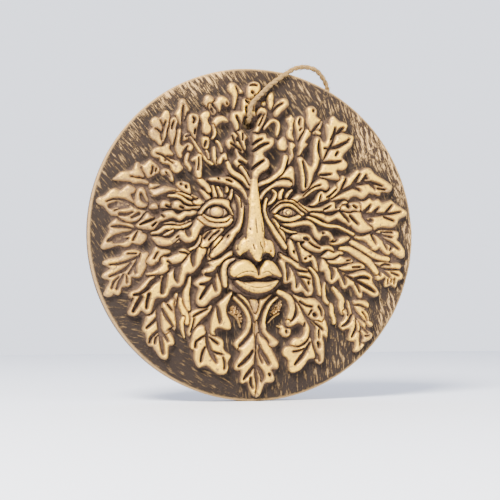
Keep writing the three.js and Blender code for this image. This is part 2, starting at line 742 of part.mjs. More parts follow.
const knotTails = [
  [[3.4, 5.4, 56.5], [1.2, 4.4, 52.4], [-0.4, 3.2, 47.6]],
  [[5.2, 5.4, 56.5], [7.4, 4.6, 52.0], [7.0, 3.4, 46.8]],
];

function strand(points) {
  const route = points.map((point) => new THREE.Vector3(...point));
  const curve = new THREE.CatmullRomCurve3(route, false, "centripetal");
  const corners = [];
  for (let i = 0; i < twineSides; i++) {
    const angle = (2 * Math.PI * i) / twineSides;
    corners.push(new THREE.Vector2(Math.cos(angle), Math.sin(angle)).multiplyScalar(twineDiameter / 2));
  }
  const steps = Math.ceil(curve.getLength() / twineStep);
  const section = new THREE.Shape(corners);
  return new THREE.ExtrudeGeometry(section, { steps, extrudePath: curve, bevelEnabled: false });
}

function knot() {
  const ball = new THREE.SphereGeometry(knotRadius, knotSides, knotRings);
  ball.translate(...knotCentre);
  const tails = knotTails.map((tail) => solidFromGeometry(strand(tail)));
  return tails.reduce((whole, tail) => whole.add(tail), solidFromGeometry(ball));
}

function geometryOf(solid) {
  const { vertProperties, triVerts } = solid.getMesh();
  const geometry = new THREE.BufferGeometry();
  geometry.setAttribute("position", new THREE.BufferAttribute(vertProperties, 3));
  geometry.setIndex(new THREE.BufferAttribute(triVerts, 1));
  return geometry;
}

function piece(name, geometry, material) {
  const mesh = new THREE.Mesh(geometry, material);
  mesh.name = name;
  return mesh;
}

const bronzedTerracotta = new THREE.MeshStandardMaterial({ color: 0xb8925c, roughness: 0.6, metalness: 0.3 });
const jute = new THREE.MeshStandardMaterial({ color: 0xb99a66, roughness: 0.95, metalness: 0 });

const greenManPlaque = new THREE.Group();
greenManPlaque.add(
  piece("plaque", geometryOf(castPlaque()), bronzedTerracotta),
  piece("hanging_twine", geometryOf(solidFromGeometry(strand(loopRoute))), jute),
  piece("twine_knot", geometryOf(knot()), jute),
);

export default greenManPlaque;
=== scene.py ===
"""The looks of the green man wall plaque: its cast relief, its patina and its jute twine.

The relief is carved form by form into a field of heights, in millimetres, with u to the right and v up.
"""

import logging
import math
from dataclasses import dataclass
from enum import Enum
from typing import Any, Sequence

import bmesh
import bpy
import numpy as np
from mathutils import Matrix, Vector


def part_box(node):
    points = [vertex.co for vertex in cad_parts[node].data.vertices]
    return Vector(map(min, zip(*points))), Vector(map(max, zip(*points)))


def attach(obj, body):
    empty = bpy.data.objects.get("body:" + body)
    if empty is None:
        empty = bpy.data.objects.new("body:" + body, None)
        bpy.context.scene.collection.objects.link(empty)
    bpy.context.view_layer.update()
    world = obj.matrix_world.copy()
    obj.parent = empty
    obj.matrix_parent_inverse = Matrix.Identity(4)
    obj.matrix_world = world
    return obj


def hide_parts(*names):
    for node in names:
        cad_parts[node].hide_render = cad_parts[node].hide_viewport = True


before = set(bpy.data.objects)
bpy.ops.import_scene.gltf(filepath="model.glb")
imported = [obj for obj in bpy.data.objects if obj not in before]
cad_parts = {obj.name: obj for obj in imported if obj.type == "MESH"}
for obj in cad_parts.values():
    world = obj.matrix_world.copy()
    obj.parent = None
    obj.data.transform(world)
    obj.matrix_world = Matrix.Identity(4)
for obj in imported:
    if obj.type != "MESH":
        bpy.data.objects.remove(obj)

Point = tuple[float, float]
Place = tuple[float, float, float]
Colour = tuple[float, float, float]
Noise = tuple[float, float, float]
Grid = np.ndarray

MM = 0.001
log = logging.getLogger("green_man")

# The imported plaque's lowest and highest corners, in metres
PLAQUE_LOW, PLAQUE_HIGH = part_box("plaque")

# The low rise of the whole face, which the forms stand on: its height, its centre and how far it reaches
SWELL_HEIGHT = 2.6
SWELL_CENTRE: Point = (-2.5, 2.0)
SWELL_REACH = 62.0

# How far a form's edge stands out past its drawn line, how high the edge and a cut's bed are as shares of
# the form's height, and how far a cut's wall rounds
SPREAD = 0.35
EDGE_LEVEL = 0.35
CUT_LEVEL = 0.2
CUT_ROUNDING = 1.5

# How much of what lies around a form is cut away beside it
MOAT_CUT = 0.72

# How far a band falls off towards its edge, as a share of its half width, and how soon it does
BAND_FALL = 0.75
BAND_ROUNDING = 1.1

# The length of one grain, its half width and the cut around it
GRAIN_LENGTH = 0.8
GRAIN_WIDTH = 0.05
GRAIN_MOAT = 0.3

# Where the hollows between the forms start to fill and where they are full, by how much of them is covered
FILL_SPAN: Point = (0.25, 0.6)

# A distance that is farther than anything on the plaque
FAR = 1e9


def curve_through(points: Sequence[Sequence[float]], steps: int, closed: bool = False) -> Grid:
    """Draw a smooth line through points.

    Args:
        points: The points, in any number of dimensions.
        steps: How many points the line has from one of them to the next.
        closed: Whether the line goes on from the last point to the first.

    Returns:
        The line's points, one in each row.
    """
    p = np.asarray(points, float)
    if closed:
        q = np.vstack([p[-1:], p, p[:2]])
        spans = len(p)
    else:
        q = np.vstack([2 * p[:1] - p[1:2], p, 2 * p[-1:] - p[-2:-1]])
        spans = len(p) - 1
    t = (np.arange(steps) / steps)[:, None]
    rows = []
    for i in range(spans):
        a, b, c, d = q[i:i + 4]
        bend = (2 * a - 5 * b + 4 * c - d) * t ** 2 + (3 * b - a - 3 * c + d) * t ** 3
        rows.append(0.5 * (2 * b + (c - a) * t + bend))
    if not closed:
        rows.append(p[-1:])
    return np.vstack(rows)


def pairs(numbers: Sequence[float]) -> Grid:
    """Return numbers that are u and v in turn as rows of one point each."""
    return np.reshape(numbers, (-1, 2))


def stroke(path: Sequence[float], widths: Sequence[float]) -> tuple[Grid, Grid]:
    """Draw a line of changing width.

    Args:
        path: The points it goes through, as u and v in turn.
        widths: Its half widths, spread evenly along it.

    Returns:
        The line's points and its half width at each of them.
    """
    line = curve_through(pairs(path), steps=8)
    return line, np.interp(np.linspace(0, 1, len(line)), np.linspace(0, 1, len(widths)), widths)


def smooth_step(low: float, high: float, x: Grid) -> Grid:
    """Return 0 below low, 1 above high and a smooth rise between them.

    Args:
        low: Where the rise starts.
        high: Where it ends.
        x: The values.

    Returns:
        The risen values, from 0 to 1.
    """
    t = np.clip((x - low) / (high - low), 0, 1)
    return t * t * (3 - 2 * t)


def rounded(x: Grid) -> Grid:
    """Return a quarter circle's rise, from 0 where x is 0 to 1 where it is 1."""
    return np.sqrt(1 - (1 - np.clip(x, 0, 1)) ** 2)


def distance_to(u: Grid, v: Grid, line: Grid, widths: Grid | None = None) -> tuple[Grid, Grid]:
    """Measure how far each place is from a line.

    Args:
        u: The places' first coordinates.
        v: Their second coordinates.
        line: The line's points, one in each row.
        widths: The line's half width at each of its points, taken off the distance.

    Returns:
        The distances, and the share of the line's points that lies before the nearest one.
    """
    nearest = np.full(u.shape, FAR)
    share = np.zeros(u.shape)
    spans = len(line) - 1
    for i in range(spans):
        (x0, y0), (x1, y1) = line[i], line[i + 1]
        dx, dy = x1 - x0, y1 - y0
        t = np.clip(((u - x0) * dx + (v - y0) * dy) / (dx * dx + dy * dy + 1e-12), 0, 1)
        gap = np.hypot(u - x0 - t * dx, v - y0 - t * dy)
        if widths is not None:
            gap = gap - (widths[i] + (widths[i + 1] - widths[i]) * t)
        closer = gap < nearest
        nearest[closer] = gap[closer]
        share[closer] = ((i + t) / spans)[closer]
    return nearest, share


def is_inside(u: Grid, v: Grid, ring: Grid) -> Grid:
    """Tell whether each place is inside a closed ring.

    Args:
        u: The places' first coordinates.
        v: Their second coordinates.
        ring: The ring's points, one in each row.

    Returns:
        True or False for each place.
    """
    within = np.zeros(u.shape, bool)
    for (x0, y0), (x1, y1) in zip(ring, np.roll(ring, -1, axis=0)):
        if y0 != y1:
            crosses = (y0 > v) != (y1 > v)
            within ^= crosses & (u < (x1 - x0) * (v - y0) / (y1 - y0) + x0)
    return within


def blurred(field: Grid, sigma: float) -> Grid:
    """Blur a square field.

    Args:
        field: The field.
        sigma: The blur's spread, in cells.

    Returns:
        The blurred field.
    """
    reach = int(math.ceil(3 * sigma))
    taps = np.exp(-0.5 * (np.arange(-reach, reach + 1) / sigma) ** 2)
    taps /= taps.sum()
    out = field
    for axis in (0, 1):
        padded = np.pad(out, [(reach, reach) if k == axis else (0, 0) for k in (0, 1)], mode="edge")
        size = field.shape[axis]
        out = sum(tap * np.take(padded, range(i, i + size), axis=axis) for i, tap in enumerate(taps))
    return out


def highest(field: Grid, reach: int) -> Grid:
    """Take the highest value near each place of a square field.

    Args:
        field: The field.
        reach: How many cells away it looks, along both axes.

    Returns:
        The highest values.
    """
    out = field
    for axis in (0, 1):
        padded = np.pad(out, [(reach, reach) if k == axis else (0, 0) for k in (0, 1)], mode="edge")
        size = field.shape[axis]
        best = np.take(padded, range(size), axis=axis)
        for i in range(1, 2 * reach + 1):
            best = np.maximum(best, np.take(padded, range(i, i + size), axis=axis))
        out = best
    return out


class Carving:
    """The relief's height over the slab's front, on a square grid, in millimetres."""

    def __init__(self, radius: float, step: float) -> None:
        """Start with a flat front.

        Args:
            radius: The front's radius.
            step: The distance from one place of the grid to the next.
        """
        self.radius = radius
        self.step = step
        self.size = int(round(2 * radius / step)) + 1
        axis = np.linspace(-radius, radius, self.size)
        self.u, self.v = np.meshgrid(axis, axis)
        self.height = np.zeros_like(self.u)
        self.covered = np.zeros_like(self.u)
        self.scored = np.zeros_like(self.u)

    def window(self, points: Grid, margin: float) -> tuple[slice, slice]:
        """Cut out the part of the grid around some points.

        Args:
            points: The points, one in each row.
            margin: How far it goes on around them.

        Returns:
            The rows and columns.
        """
        low = (np.min(points, axis=0) - margin + self.radius) / self.step
        high = (np.max(points, axis=0) + margin + self.radius) / self.step
        first = np.clip(low.astype(int), 0, self.size)
        last = np.clip(high.astype(int) + 2, 0, self.size)
        return slice(first[1], last[1]), slice(first[0], last[0])

    def swell(self, u: Grid, v: Grid) -> Grid:
        """Return the low rise of the whole face, which the forms stand on."""
        across, up = (u - SWELL_CENTRE[0]) / SWELL_REACH, (v - SWELL_CENTRE[1]) / SWELL_REACH
        return SWELL_HEIGHT * np.clip(1 - across ** 2 - up ** 2, 0, None)

    def lay(self, window: tuple[slice, slice], inward: Grid, top: Grid, moat: float) -> None:
        """Lay a form over the field, with the field cut down just around it.

        Args:
            window: The rows and columns that it needs.
            inward: How far each place there lies inside the form's edge.
            top: The form's height.
            moat: How wide the cut around it is, or 0 for none.
        """
        field = self.height[window]
        around = field * (1 - MOAT_CUT * smooth_step(-moat, 0, inward)) if moat else field
        self.height[window] = np.where(inward < 0, around, np.maximum(field, top))
        self.covered[window] = np.where(inward < 0, self.covered[window], 1)

    def fill(self, share: float, reach: float) -> None:
        """Fill the hollows between close forms, as the bodies of the leaves do.

        Args:
            share: How high the hollows come, as a share of the forms' height around them.
            reach: How far the forms' height is averaged, in millimetres.
        """
        cover = blurred(self.covered, reach / self.step)
        around = blurred(self.height * self.covered, reach / self.step) / np.maximum(cover, 0.001)
        self.height = np.maximum(self.height, share * around * smooth_step(*FILL_SPAN, cover))

    def roughen(self, depth: float, grain: float, seed: int) -> None:
        """Give the whole front the slight unevenness of a casting.

        Args:
            depth: How deep the unevenness is.
            grain: Its grain in millimetres.
            seed: The seed that makes it the same each time.
        """
        noise = blurred(np.random.default_rng(seed).standard_normal(self.height.shape), grain / self.step)
        self.height += depth * noise / noise.std()

    def sampled(self, field: Grid, u: Grid, v: Grid) -> Grid:
        """Read a field between its places.

        Args:
            field: The field, on this carving's grid.
            u: The first coordinates to read at.
            v: The second coordinates.

        Returns:
            The field's values there.
        """
        x = np.clip((u + self.radius) / self.step, 0, self.size - 1.001)
        y = np.clip((v + self.radius) / self.step, 0, self.size - 1.001)
        i, j = x.astype(int), y.astype(int)
        s, t = x - i, y - j
        low = field[j, i] * (1 - s) + field[j, i + 1] * s
        high = field[j + 1, i] * (1 - s) + field[j + 1, i + 1] * s
        return low * (1 - t) + high * t


class Form:
    """One form of the relief. Each kind of form has its own way of changing the carving."""

    def shape(self, carving: Carving) -> None:
        """Work the form into the carving."""
        raise NotImplementedError


@dataclass(frozen=True)
class Cut:
    """A dark cut in a blade: its half widths and its path, as u and v in turn."""

    widths: tuple[float, ...]
    path: tuple[float, ...]


@dataclass(frozen=True)
class Blade(Form):
    """A leaf, lobe or plate: its height, outline as u and v in turn, cuts, edge rounding and moat."""

    rise: float
    outline: tuple[float, ...]
    cuts: tuple[Cut, ...] = ()
    softness: float = 2.8
    moat: float = 0.8

    def shape(self, carving: Carving) -> None:
        """Lay the blade over the carving, with a rounded edge and its cuts sunk in it.

        Args:
            carving: The carving, which is changed in place.
        """
        ring = curve_through(pairs(self.outline), steps=4, closed=True)
        w = carving.window(ring, margin=1.5)
        u, v = carving.u[w], carving.v[w]
        edge, _ = distance_to(u, v, np.vstack([ring, ring[:1]]))
        edge = np.where(is_inside(u, v, ring), edge, -edge) + SPREAD
        level = EDGE_LEVEL + (1 - EDGE_LEVEL) * rounded(edge / self.softness)
        for cut in self.cuts:
            line, widths = stroke(cut.path, cut.widths)
            gap, _ = distance_to(u, v, line, widths)
            level = np.minimum(level, CUT_LEVEL + (1 - CUT_LEVEL) * rounded(gap / CUT_ROUNDING))
        carving.lay(w, edge, carving.swell(u, v) + self.rise * level, self.moat)


@dataclass(frozen=True)
class Tendril(Form):
    """A raised band: its height, path as u and v in turn, half widths, what its height gains, and moat."""

    rise: float
    path: tuple[float, ...]
    widths: tuple[float, ...]
    growth: float = 0.0
    moat: float = 0.8

    def shape(self, carving: Carving) -> None:
        """Lay the rounded band over the carving.

        Args:
            carving: The carving, which is changed in place.
        """
        line, widths = stroke(self.path, self.widths)
        widths = widths + SPREAD
        w = carving.window(line, margin=max(self.widths) + SPREAD + self.moat + 0.5)
        u, v = carving.u[w], carving.v[w]
        gap, share = distance_to(u, v, line, widths)
        half = np.interp(share, np.linspace(0, 1, len(widths)), widths)
        fall = BAND_FALL * half * (1 - rounded(-BAND_ROUNDING * gap / half))
        top = carving.swell(u, v) + self.rise + self.growth * share - fall
        carving.lay(w, -gap, top, self.moat)


@dataclass(frozen=True)
class Boss(Form):
    """A rounded boss: its height, centre, half widths and turn in degrees."""

    rise: float
    centre: Point
    widths: Point
    turn: float = 0.0

    def shape(self, carving: Carving) -> None:
        """Raise the boss out of the carving.

        Args:
            carving: The carving, which is changed in place.
        """
        centre = np.array(self.centre)
        reach = max(self.widths)
        w = carving.window(np.array([centre - reach, centre + reach]), margin=1.0)
        u, v = carving.u[w] - centre[0], carving.v[w] - centre[1]
        turn = math.radians(self.turn)
        across = (u * math.cos(turn) + v * math.sin(turn)) / self.widths[0]
        up = (v * math.cos(turn) - u * math.sin(turn)) / self.widths[1]
        out = np.hypot(across, up)
        top = carving.swell(*centre) + self.rise * np.sqrt(np.clip(1 - out ** 2, 0, 1))
        carving.height[w] = np.where(out < 1, np.maximum(carving.height[w], top), carving.height[w])


@dataclass(frozen=True)
class Groove(Form):
    """A cut line: its depth, its path as u and v in turn, and its half widths."""

    depth: float
    path: tuple[float, ...]
    widths: tuple[float, ...]

    def shape(self, carving: Carving) -> None:
        """Cut the groove into the carving.

        Args:
            carving: The carving, which is changed in place.
        """
        line, widths = stroke(self.path, self.widths)
        w = carving.window(line, margin=max(self.widths) + 0.5)
        gap, share = distance_to(carving.u[w], carving.v[w], line)
        half = np.interp(share, np.linspace(0, 1, len(widths)), widths)
        carving.height[w] -= self.depth * (1 - smooth_step(0, 1, gap / half))
        carving.scored[w] = np.maximum(carving.scored[w], 1 - smooth_step(0.4, 1, gap / half))


@dataclass(frozen=True)
class Granules(Form):
    """A patch of short raised grains: their height, the patch's outline, how many are drawn and the seed."""

    rise: float
    outline: tuple[float, ...]
    drawn: int
    seed: int

    def shape(self, carving: Carving) -> None:
        """Scatter the grains inside the outline.

        Args:
            carving: The carving, which is changed in place.
        """
        ring = pairs(self.outline)
        draw = np.random.default_rng(self.seed)
        places = draw.uniform(ring.min(axis=0), ring.max(axis=0), (self.drawn, 2))
        ways = draw.uniform(0, math.pi, self.drawn)
        inside = is_inside(places[:, 0], places[:, 1], ring)
        for (u, v), way in zip(places[inside], ways[inside]):
            path = (u, v, u + GRAIN_LENGTH * math.cos(way), v + GRAIN_LENGTH * math.sin(way))
            Tendril(self.rise, path, (GRAIN_WIDTH, GRAIN_WIDTH), moat=GRAIN_MOAT).shape(carving)


# The relief's forms from the back ones to the front ones, in millimetres over the slab's front
FORMS: dict[str, Form] = {
    "face mound": Boss(1.4, (-2.5, 0), (30, 38)),
    "far left up": Blade(3.4, (
        -64.5, 13.2, -67, 14.2, -70.5, 14.2, -71.8, 15, -74, 18.2, -75.6, 21.8, -73.2, 23, -72.6, 25,
        -75, 26.6, -77.4, 26.9, -81.2, 24, -84, 25, -86, 24.6, -88, 23.2, -90.5, 20.6, -94.2, 19.4,
        -95.2, 17.4, -94, 15.6, -90.6, 14.4, -88.6, 11.6, -86.4, 9.4, -83, 9.2, -80.4, 7.2, -77, 5.8,
        -73, 5.9, -70, 6.8, -67, 10.6,
    ), (
        Cut((0.2, 0.7, 0.9, 0.7), (
            -89.6, 17.2, -85.8, 18.6, -81.5, 18.7, -77.5, 17.4, -73.5, 15.3, -69.5, 13.6, -65.5, 13.2,
        )),
        Cut((1.6, 1.9, 0.9), (-87, 14.6, -82.6, 15.8, -78, 15.6)),
        Cut((0.3, 0.6, 0.7), (-84.8, 12, -80.6, 13.6, -76.6, 14.6)),
        Cut((1.1, 0.9, 0.5), (-81.5, 10, -77.6, 10, -74.4, 11.2)),
        Cut((0.7, 0.9), (-74.6, 8.2, -70.6, 10.4)),
    )),
    "far left up lobe": Blade(3.4, (
        -71.4, 14.6, -72.8, 17.4, -71.8, 23.2, -70.4, 25.4, -68.4, 25.8, -66.8, 24, -66.3, 21.4,
        -65.3, 18.4, -65.4, 15.6, -67.4, 14.2,
    ), (
        Cut((0.7, 1.3, 0.6), (-69.4, 22, -68.2, 19.2, -66, 16.8)),
    )),
    "far left mid": Blade(3.4, (
        -66.2, 0.2, -69.6, 1.2, -72, 2.8, -75.6, 4.2, -80, 4.9, -82.4, 6, -84, 7.1, -88, 3.2, -87.6, 0.6,
        -91.4, -6.6, -92.6, -9.2, -90.4, -10.5, -82.4, -8.1, -79, -8.9, -76, -8.1, -74.4, -6.5, -70, -7.4,
        -67.4, -6, -65.9, -3.4, -66.4, -1.6, -69.4, -0.4,
    ), (
        Cut((0.4, 0.9, 0.7, 0.4), (-86.6, 2.7, -82, 2.8, -77.6, 2.4, -74, 1.6)),
        Cut((0.6, 1.6, 1.5, 0.9, 0.5), (-88.4, -5.6, -84.4, -3.9, -79.6, -2.2, -75.6, -0.7, -71.4, 2)),
        Cut((1.1, 1.4, 0.5), (-84.6, -6, -80.2, -5.3, -76.6, -3.9)),
        Cut((0.4, 0.6), (-71.4, -0.2, -73.8, -5)),
    )),
    "far left low": Blade(3.2, (
        -68.4, -12.6, -71, -11.2, -74, -10.7, -77.2, -11.4, -79.6, -12.7, -81, -14.8, -88, -16.2,
        -91.2, -17.9, -90.9, -19.5, -86.6, -21.6, -89.4, -23.8, -91.6, -25.5, -91, -27.4, -87.1, -28.8,
        -89.6, -34.1, -90.7, -36.7, -88.8, -38.2, -86.4, -37.6, -84.9, -35.9, -83.8, -36.8, -82, -37.1,
        -80.7, -35, -80.2, -32.4, -75.8, -31.8, -74.9, -29, -74.8, -26.4, -72, -26.9, -69.8, -26.6,
        -68.2, -24.6, -64.6, -17, -64.4, -13.4, -66, -12,
    ), (
        Cut((0.3, 0.6, 0.8, 0.6), (-87.6, -19.6, -82, -18.9, -76.6, -17.4, -71.4, -14.8)),
        Cut((0.3, 0.5), (-77, -13, -71.8, -12.9)),
        Cut((0.4, 0.8, 1.1, 0.8), (-87.4, -26.4, -83, -24.6, -78.6, -22.4, -75, -18.8)),
        Cut((0.4, 0.8, 0.8), (-69.4, -12.8, -71.8, -18, -76, -24.6)),
        Cut((0.5, 0.9, 0.5), (-72.6, -18.8, -72.6, -21.6, -72.2, -24.2)),
        Cut((0.6, 0.7, 0.4), (-86, -33, -84.6, -29.4, -81.6, -26.2)),
        Cut((0.8, 1.1, 0.6), (-83, -33.4, -81.4, -29.4, -79.2, -25.2)),
        Cut((0.3, 0.5), (-77.6, -25.8, -77, -30)),
    )),
    "far right up": Blade(4.2, (
        63.6, 20, 66, 20.4, 69, 21, 71.6, 22.7, 73.4, 21.2, 77, 22.3, 79.4, 20.3, 82, 20.7, 85.5, 21.6,
        88.2, 19.5, 95, 15.3, 95.2, 12.6, 90.6, 10.1, 88.7, 6.6, 85.5, 4.8, 80, 5.2, 77, 4.6, 73, 2.8,
        69, 5.6, 64.6, 12,
    ), (
        Cut((1.1, 0.9, 0.4), (66.9, 12.9, 69.6, 15.6, 71.8, 18.4)),
        Cut((1, 0.7, 0.3), (74, 13.6, 75.6, 15.2, 77.2, 17)),
        Cut((0.6, 0.6, 0.3), (81.8, 14, 84, 16.4, 86, 18.8)),
        Cut((1.6, 1.1, 0.7, 0.5, 0.3), (69.6, 11.9, 75, 12.5, 80, 13, 85.6, 13.4, 91.4, 14.7)),
        Cut((0.5, 0.4, 0.2), (80.8, 11.2, 84, 10, 87.2, 8.8)),
        Cut((1, 1), (72, 9.3, 72.4, 9)),
        Cut((0.9, 0.5), (68, 11, 70.6, 8)),
    )),
    "far right mid": Blade(3.8, (
        59.6, 0.8, 63, -0.6, 67, -0.6, 70, 0.8, 72.4, 2.4, 75.4, 1.8, 78, 3, 84, 2.8, 89.6, 2.5, 90.2, -0.6,
        89.2, -2.6, 92, -5.4, 94.2, -9.6, 94, -12.8, 91.4, -14, 88, -12, 85.4, -10.2, 83.6, -12,
        81.4, -11.4, 79, -9.2, 77.4, -8.1, 75.4, -9.3, 73, -8.6, 70, -5, 67.6, -3.2, 64.6, -2.8, 61.6, -1.8,
    ), (
        Cut((0.5, 0.6, 0.3), (72.4, 0.4, 74, -2.6, 75.4, -5.4)),
        Cut((0.7, 1, 1.1, 0.9, 0.3), (73.4, 1.6, 77.4, 0, 81.6, -3.4, 86.4, -5.8, 90.4, -8.6)),
        Cut((0.7, 0.6, 0.3), (78.4, 0.8, 82, -0.4, 86, -1.2)),
        Cut((0.5, 0.4), (79, 2, 86, 1.9)),
        Cut((0.5, 0.3), (80.6, -4.6, 82.8, -8.6)),
        Cut((0.6, 0.4), (86, -6.6, 84.6, -9)),
    )),
    "far right low": Blade(3.6, (
        73.4, -13.4, 81, -13.6, 83.9, -14.2, 83.9, -16.8, 88, -17.1, 90.6, -17.1, 92, -18.6, 90.6, -21.4,
        92.7, -24, 92.2, -26.8, 89.6, -27.4, 88.3, -31.7, 86.6, -31.2, 85, -30.2, 83, -31.3, 81, -31,
        81.6, -25.8, 77, -27.7, 74.9, -26.2, 74.7, -23, 73.6, -19.6, 71, -16.6,
    ), (
        Cut((0.9, 0.7, 0.3), (73.6, -15.8, 77.6, -15.4, 82, -15.4)),
        Cut((0.7, 0.7, 0.6, 0.2), (75, -19, 80, -20.6, 85, -21, 90.8, -21)),
        Cut((0.3, 0.6, 0.3), (78.6, -18.6, 81.6, -17.8, 84.6, -18.2)),
        Cut((0.6, 0.9, 0.6), (76.2, -19.6, 80.6, -22.4, 84.4, -25.6)),
        Cut((0.5, 0.8, 0.4), (76.6, -20.8, 77.6, -22.8, 78.2, -24.6)),
        Cut((0.3, 0.5, 0.3), (85.2, -22.8, 87.8, -23.8, 90.4, -24.8)),
        Cut((0.4, 0.3), (83.2, -27, 82.8, -30)),
        Cut((0.4, 0.3), (85.4, -27, 85.2, -29)),
        Cut((0.4, 0.3), (87.4, -26.6, 87.2, -30)),
    )),
    "far right low stem upper": Tendril(3.8, (
        58.6, -4, 65, -7.2, 70, -10.2, 75, -12.9, 80, -14.2, 83, -14.6,
    ), (1.2, 1.5, 1.6, 1.5, 1.3, 1.2)),
    "far right low stem lower": Tendril(4.2, (
        52.6, -8.6, 57, -8.6, 62, -11.2, 67, -14.2, 71, -17, 75.2, -22.6,
    ), (1, 1.5, 2, 2.1, 2, 1.5)),
    "left diagonal upper lobe": Blade(4.2, (
        -52, -11.2, -54.6, -10.4, -58, -10, -61, -8.8, -63, -13, -65.2, -16, -65.6, -18.2, -63.4, -19.8,
        -60.4, -18.6, -58, -16, -55.2, -13.6, -52.6, -12.4,
    ), (
        Cut((0.3, 0.4), (-59.4, -12, -61.4, -15.6)),
    )),
    "left diagonal upper": Blade(4.8, (
        -34.5, -6, -37, -9.5, -39.6, -12, -41.2, -14.2, -45.4, -18, -52.4, -19, -53.6, -20, -53, -22,
        -54.6, -24, -58, -25, -65.6, -25.4, -65.4, -24.2, -62.4, -23.4, -57.4, -19.8, -57, -18, -57.6, -16,
        -56, -14.6, -53, -14.9, -50, -13.3, -47.5, -12.5, -47.2, -11, -44.6, -9.7, -42, -10.8, -39.6, -9.6,
        -36, -5.6,
    ), (
        Cut((0.3, 0.35, 0.2), (-46.6, -11.7, -42.8, -12.4, -41.2, -13.6)),
        Cut((0.3, 0.2), (-53.8, -17.2, -51.6, -18.7)),
    )),
    "left diagonal": Blade(5.4, (
        -29.6, -5, -30.4, -9, -31.2, -12, -33, -15, -34, -18, -35.7, -20.8, -38.4, -23.6, -40.4, -24.6,
        -42.6, -24.9, -44, -29.6, -45.6, -31.7, -47.5, -32.5, -50.6, -32.4, -51.8, -33.6, -52.8, -36,
        -54.4, -38.2, -57, -38.9, -60, -38.8, -61.4, -41, -63.4, -47.4, -66, -48.2, -68.4, -46.4,
        -69.6, -46.4, -70.8, -48.2, -73.2, -49.3, -75.8, -48.8, -76.9, -47, -74, -41.2, -73.6, -38.4,
        -75.4, -39.2, -76.5, -37.2, -74.8, -34.8, -71.4, -33.6, -68.8, -30.8, -64, -26.6, -57, -26,
        -49.4, -21.4, -47.4, -19.4, -45, -18.4, -43.2, -16.2, -38.8, -11, -35.4, -5.6,
    ), (
        Cut((1.2, 1.2, 1, 0.2), (-38, -10.6, -38.9, -14, -38.9, -17, -38.6, -20)),
        Cut((1.5, 1.6, 1.2, 0.2), (-47.4, -19.6, -48.3, -23.6, -48.6, -26.6, -47.8, -29.6)),
        Cut((1.1, 1.3, 1.3, 1), (-55, -25.4, -55.8, -29, -56.2, -32, -56.7, -35.4)),
        Cut((1.4, 1.2, 0.9, 0.6, 0.4), (-59, -27, -63, -30, -66, -33.6, -70, -36.4, -73.4, -37)),
        Cut((1, 1, 0.7), (-69, -38.5, -71.5, -42.5, -73.6, -46.4)),
        Cut((0.7, 0.7, 0.4), (-64.6, -36.6, -65.4, -40.4, -66, -44.6)),
    )),
    "under eye left low": Blade(4, (
        -41, -4.4, -45, -3.4, -53, -4, -57, -5, -60, -4.4, -62.4, -3.4, -63, -4.8, -60.6, -7, -57.4, -8.2,
        -54, -8.5, -51, -7.7, -48.4, -6.4, -45, -5.8,
    )),
    "left cheek bulb": Blade(5, (
        -17.4, -4, -18.2, -7.4, -20.4, -10.2, -25.6, -15, -27.4, -16.6, -29.6, -16.8, -30.1, -12, -28.4, -5,
        -26.4, -2, -22, -2,
    ), (
        Cut((0.3, 0.3), (-27.6, -6, -28.6, -12)),
    )),
    "left cheek fold": Blade(5.4, (
        -15.6, -10.8, -19.8, -13, -22.4, -15.2, -28.8, -17.4, -29.6, -18.6, -28.6, -20, -32.9, -22.2,
        -33.4, -24, -32.6, -25.6, -35, -26.8, -37, -28.4, -38.4, -30.4, -37.6, -31.6, -36, -32.6,
        -35.6, -34.2, -36.6, -37, -37.1, -40.4, -36.2, -42.8, -34, -44, -31.4, -43.6, -27.2, -39.2,
        -24.8, -38.2, -22.6, -36.4, -21.6, -33.8, -21.7, -30.8, -23.8, -25.8, -24.2, -22.4, -22.6, -19,
        -20, -16.2, -17, -14.2, -15.2, -13.6,
    ), (
        Cut((0.7, 1, 1.1, 0.8), (-23.8, -20.6, -25.4, -23.6, -28, -25, -31, -24.9)),
        Cut((1, 0.9, 0.6, 0.2), (-25.8, -26, -28, -29.3, -31.6, -30.6, -34.6, -30.7)),
        Cut((0.9, 0.8, 0.7, 0.4), (-27.6, -28.6, -30.4, -32.8, -32.4, -36, -34.4, -39)),
        Cut((0.8, 0.6, 0.2), (-26.6, -28, -26, -31.8, -25, -34.6)),
    )),
    "left strip inner": Tendril(3.6, (
        -40.4, -26.6, -41.1, -31, -42.4, -35, -42.4, -40, -41.4, -45,
    ), (0.5, 1, 1.6, 1.8, 1.3)),
    "left strip outer": Tendril(3.8, (
        -46, -39.4, -45.7, -43, -44, -46.5, -42.2, -50, -41.8, -52.8,
    ), (0.7, 1.1, 1.4, 1.8, 1.6)),
    "left strip far": Tendril(3, (-48.2, -36.6, -49, -40, -49.6, -43, -49.8, -46), (0.6, 0.8, 0.8, 0.6)),
    "chin leaf left": Blade(4.2, (
        -28.2, -42.8, -29.6, -44.2, -36.5, -45.3, -40.2, -47.6, -39.8, -50, -39.9, -53, -40.6, -56,
        -41.7, -58.6, -41, -60.8, -39.6, -61.4, -38.7, -59.4, -36, -54.6, -32.4, -50.4, -30, -48.6,
        -27.2, -44.2,
    ), (
        Cut((0.3, 0.5, 0.4, 0.2), (-38.2, -49.6, -35.4, -47.8, -32.6, -46.5, -29.8, -45.3)),
        Cut((0.3, 0.3, 0.3), (-37.6, -51, -38.4, -54.6, -39.6, -58.6)),
    )),
    "right cheek lobes": Blade(4.6, (
        24.6, -5, 26, -8.6, 26.4, -11, 28, -16, 29.6, -17.2, 31.6, -16.9, 33.4, -16.1, 34.3, -17,
        35.6, -21.2, 37.4, -22.8, 38.8, -22.4, 38, -20.4, 36.8, -15.6, 35, -13.4, 32.4, -11.4, 27, -7.6,
        26, -4,
    ), (
        Cut((0.5, 0.4), (29.8, -15, 30.2, -14.6)),
        Cut((0.4, 0.3), (32.4, -13.4, 33.4, -13.6)),
    )),
    "right cheek hook": Blade(5, (
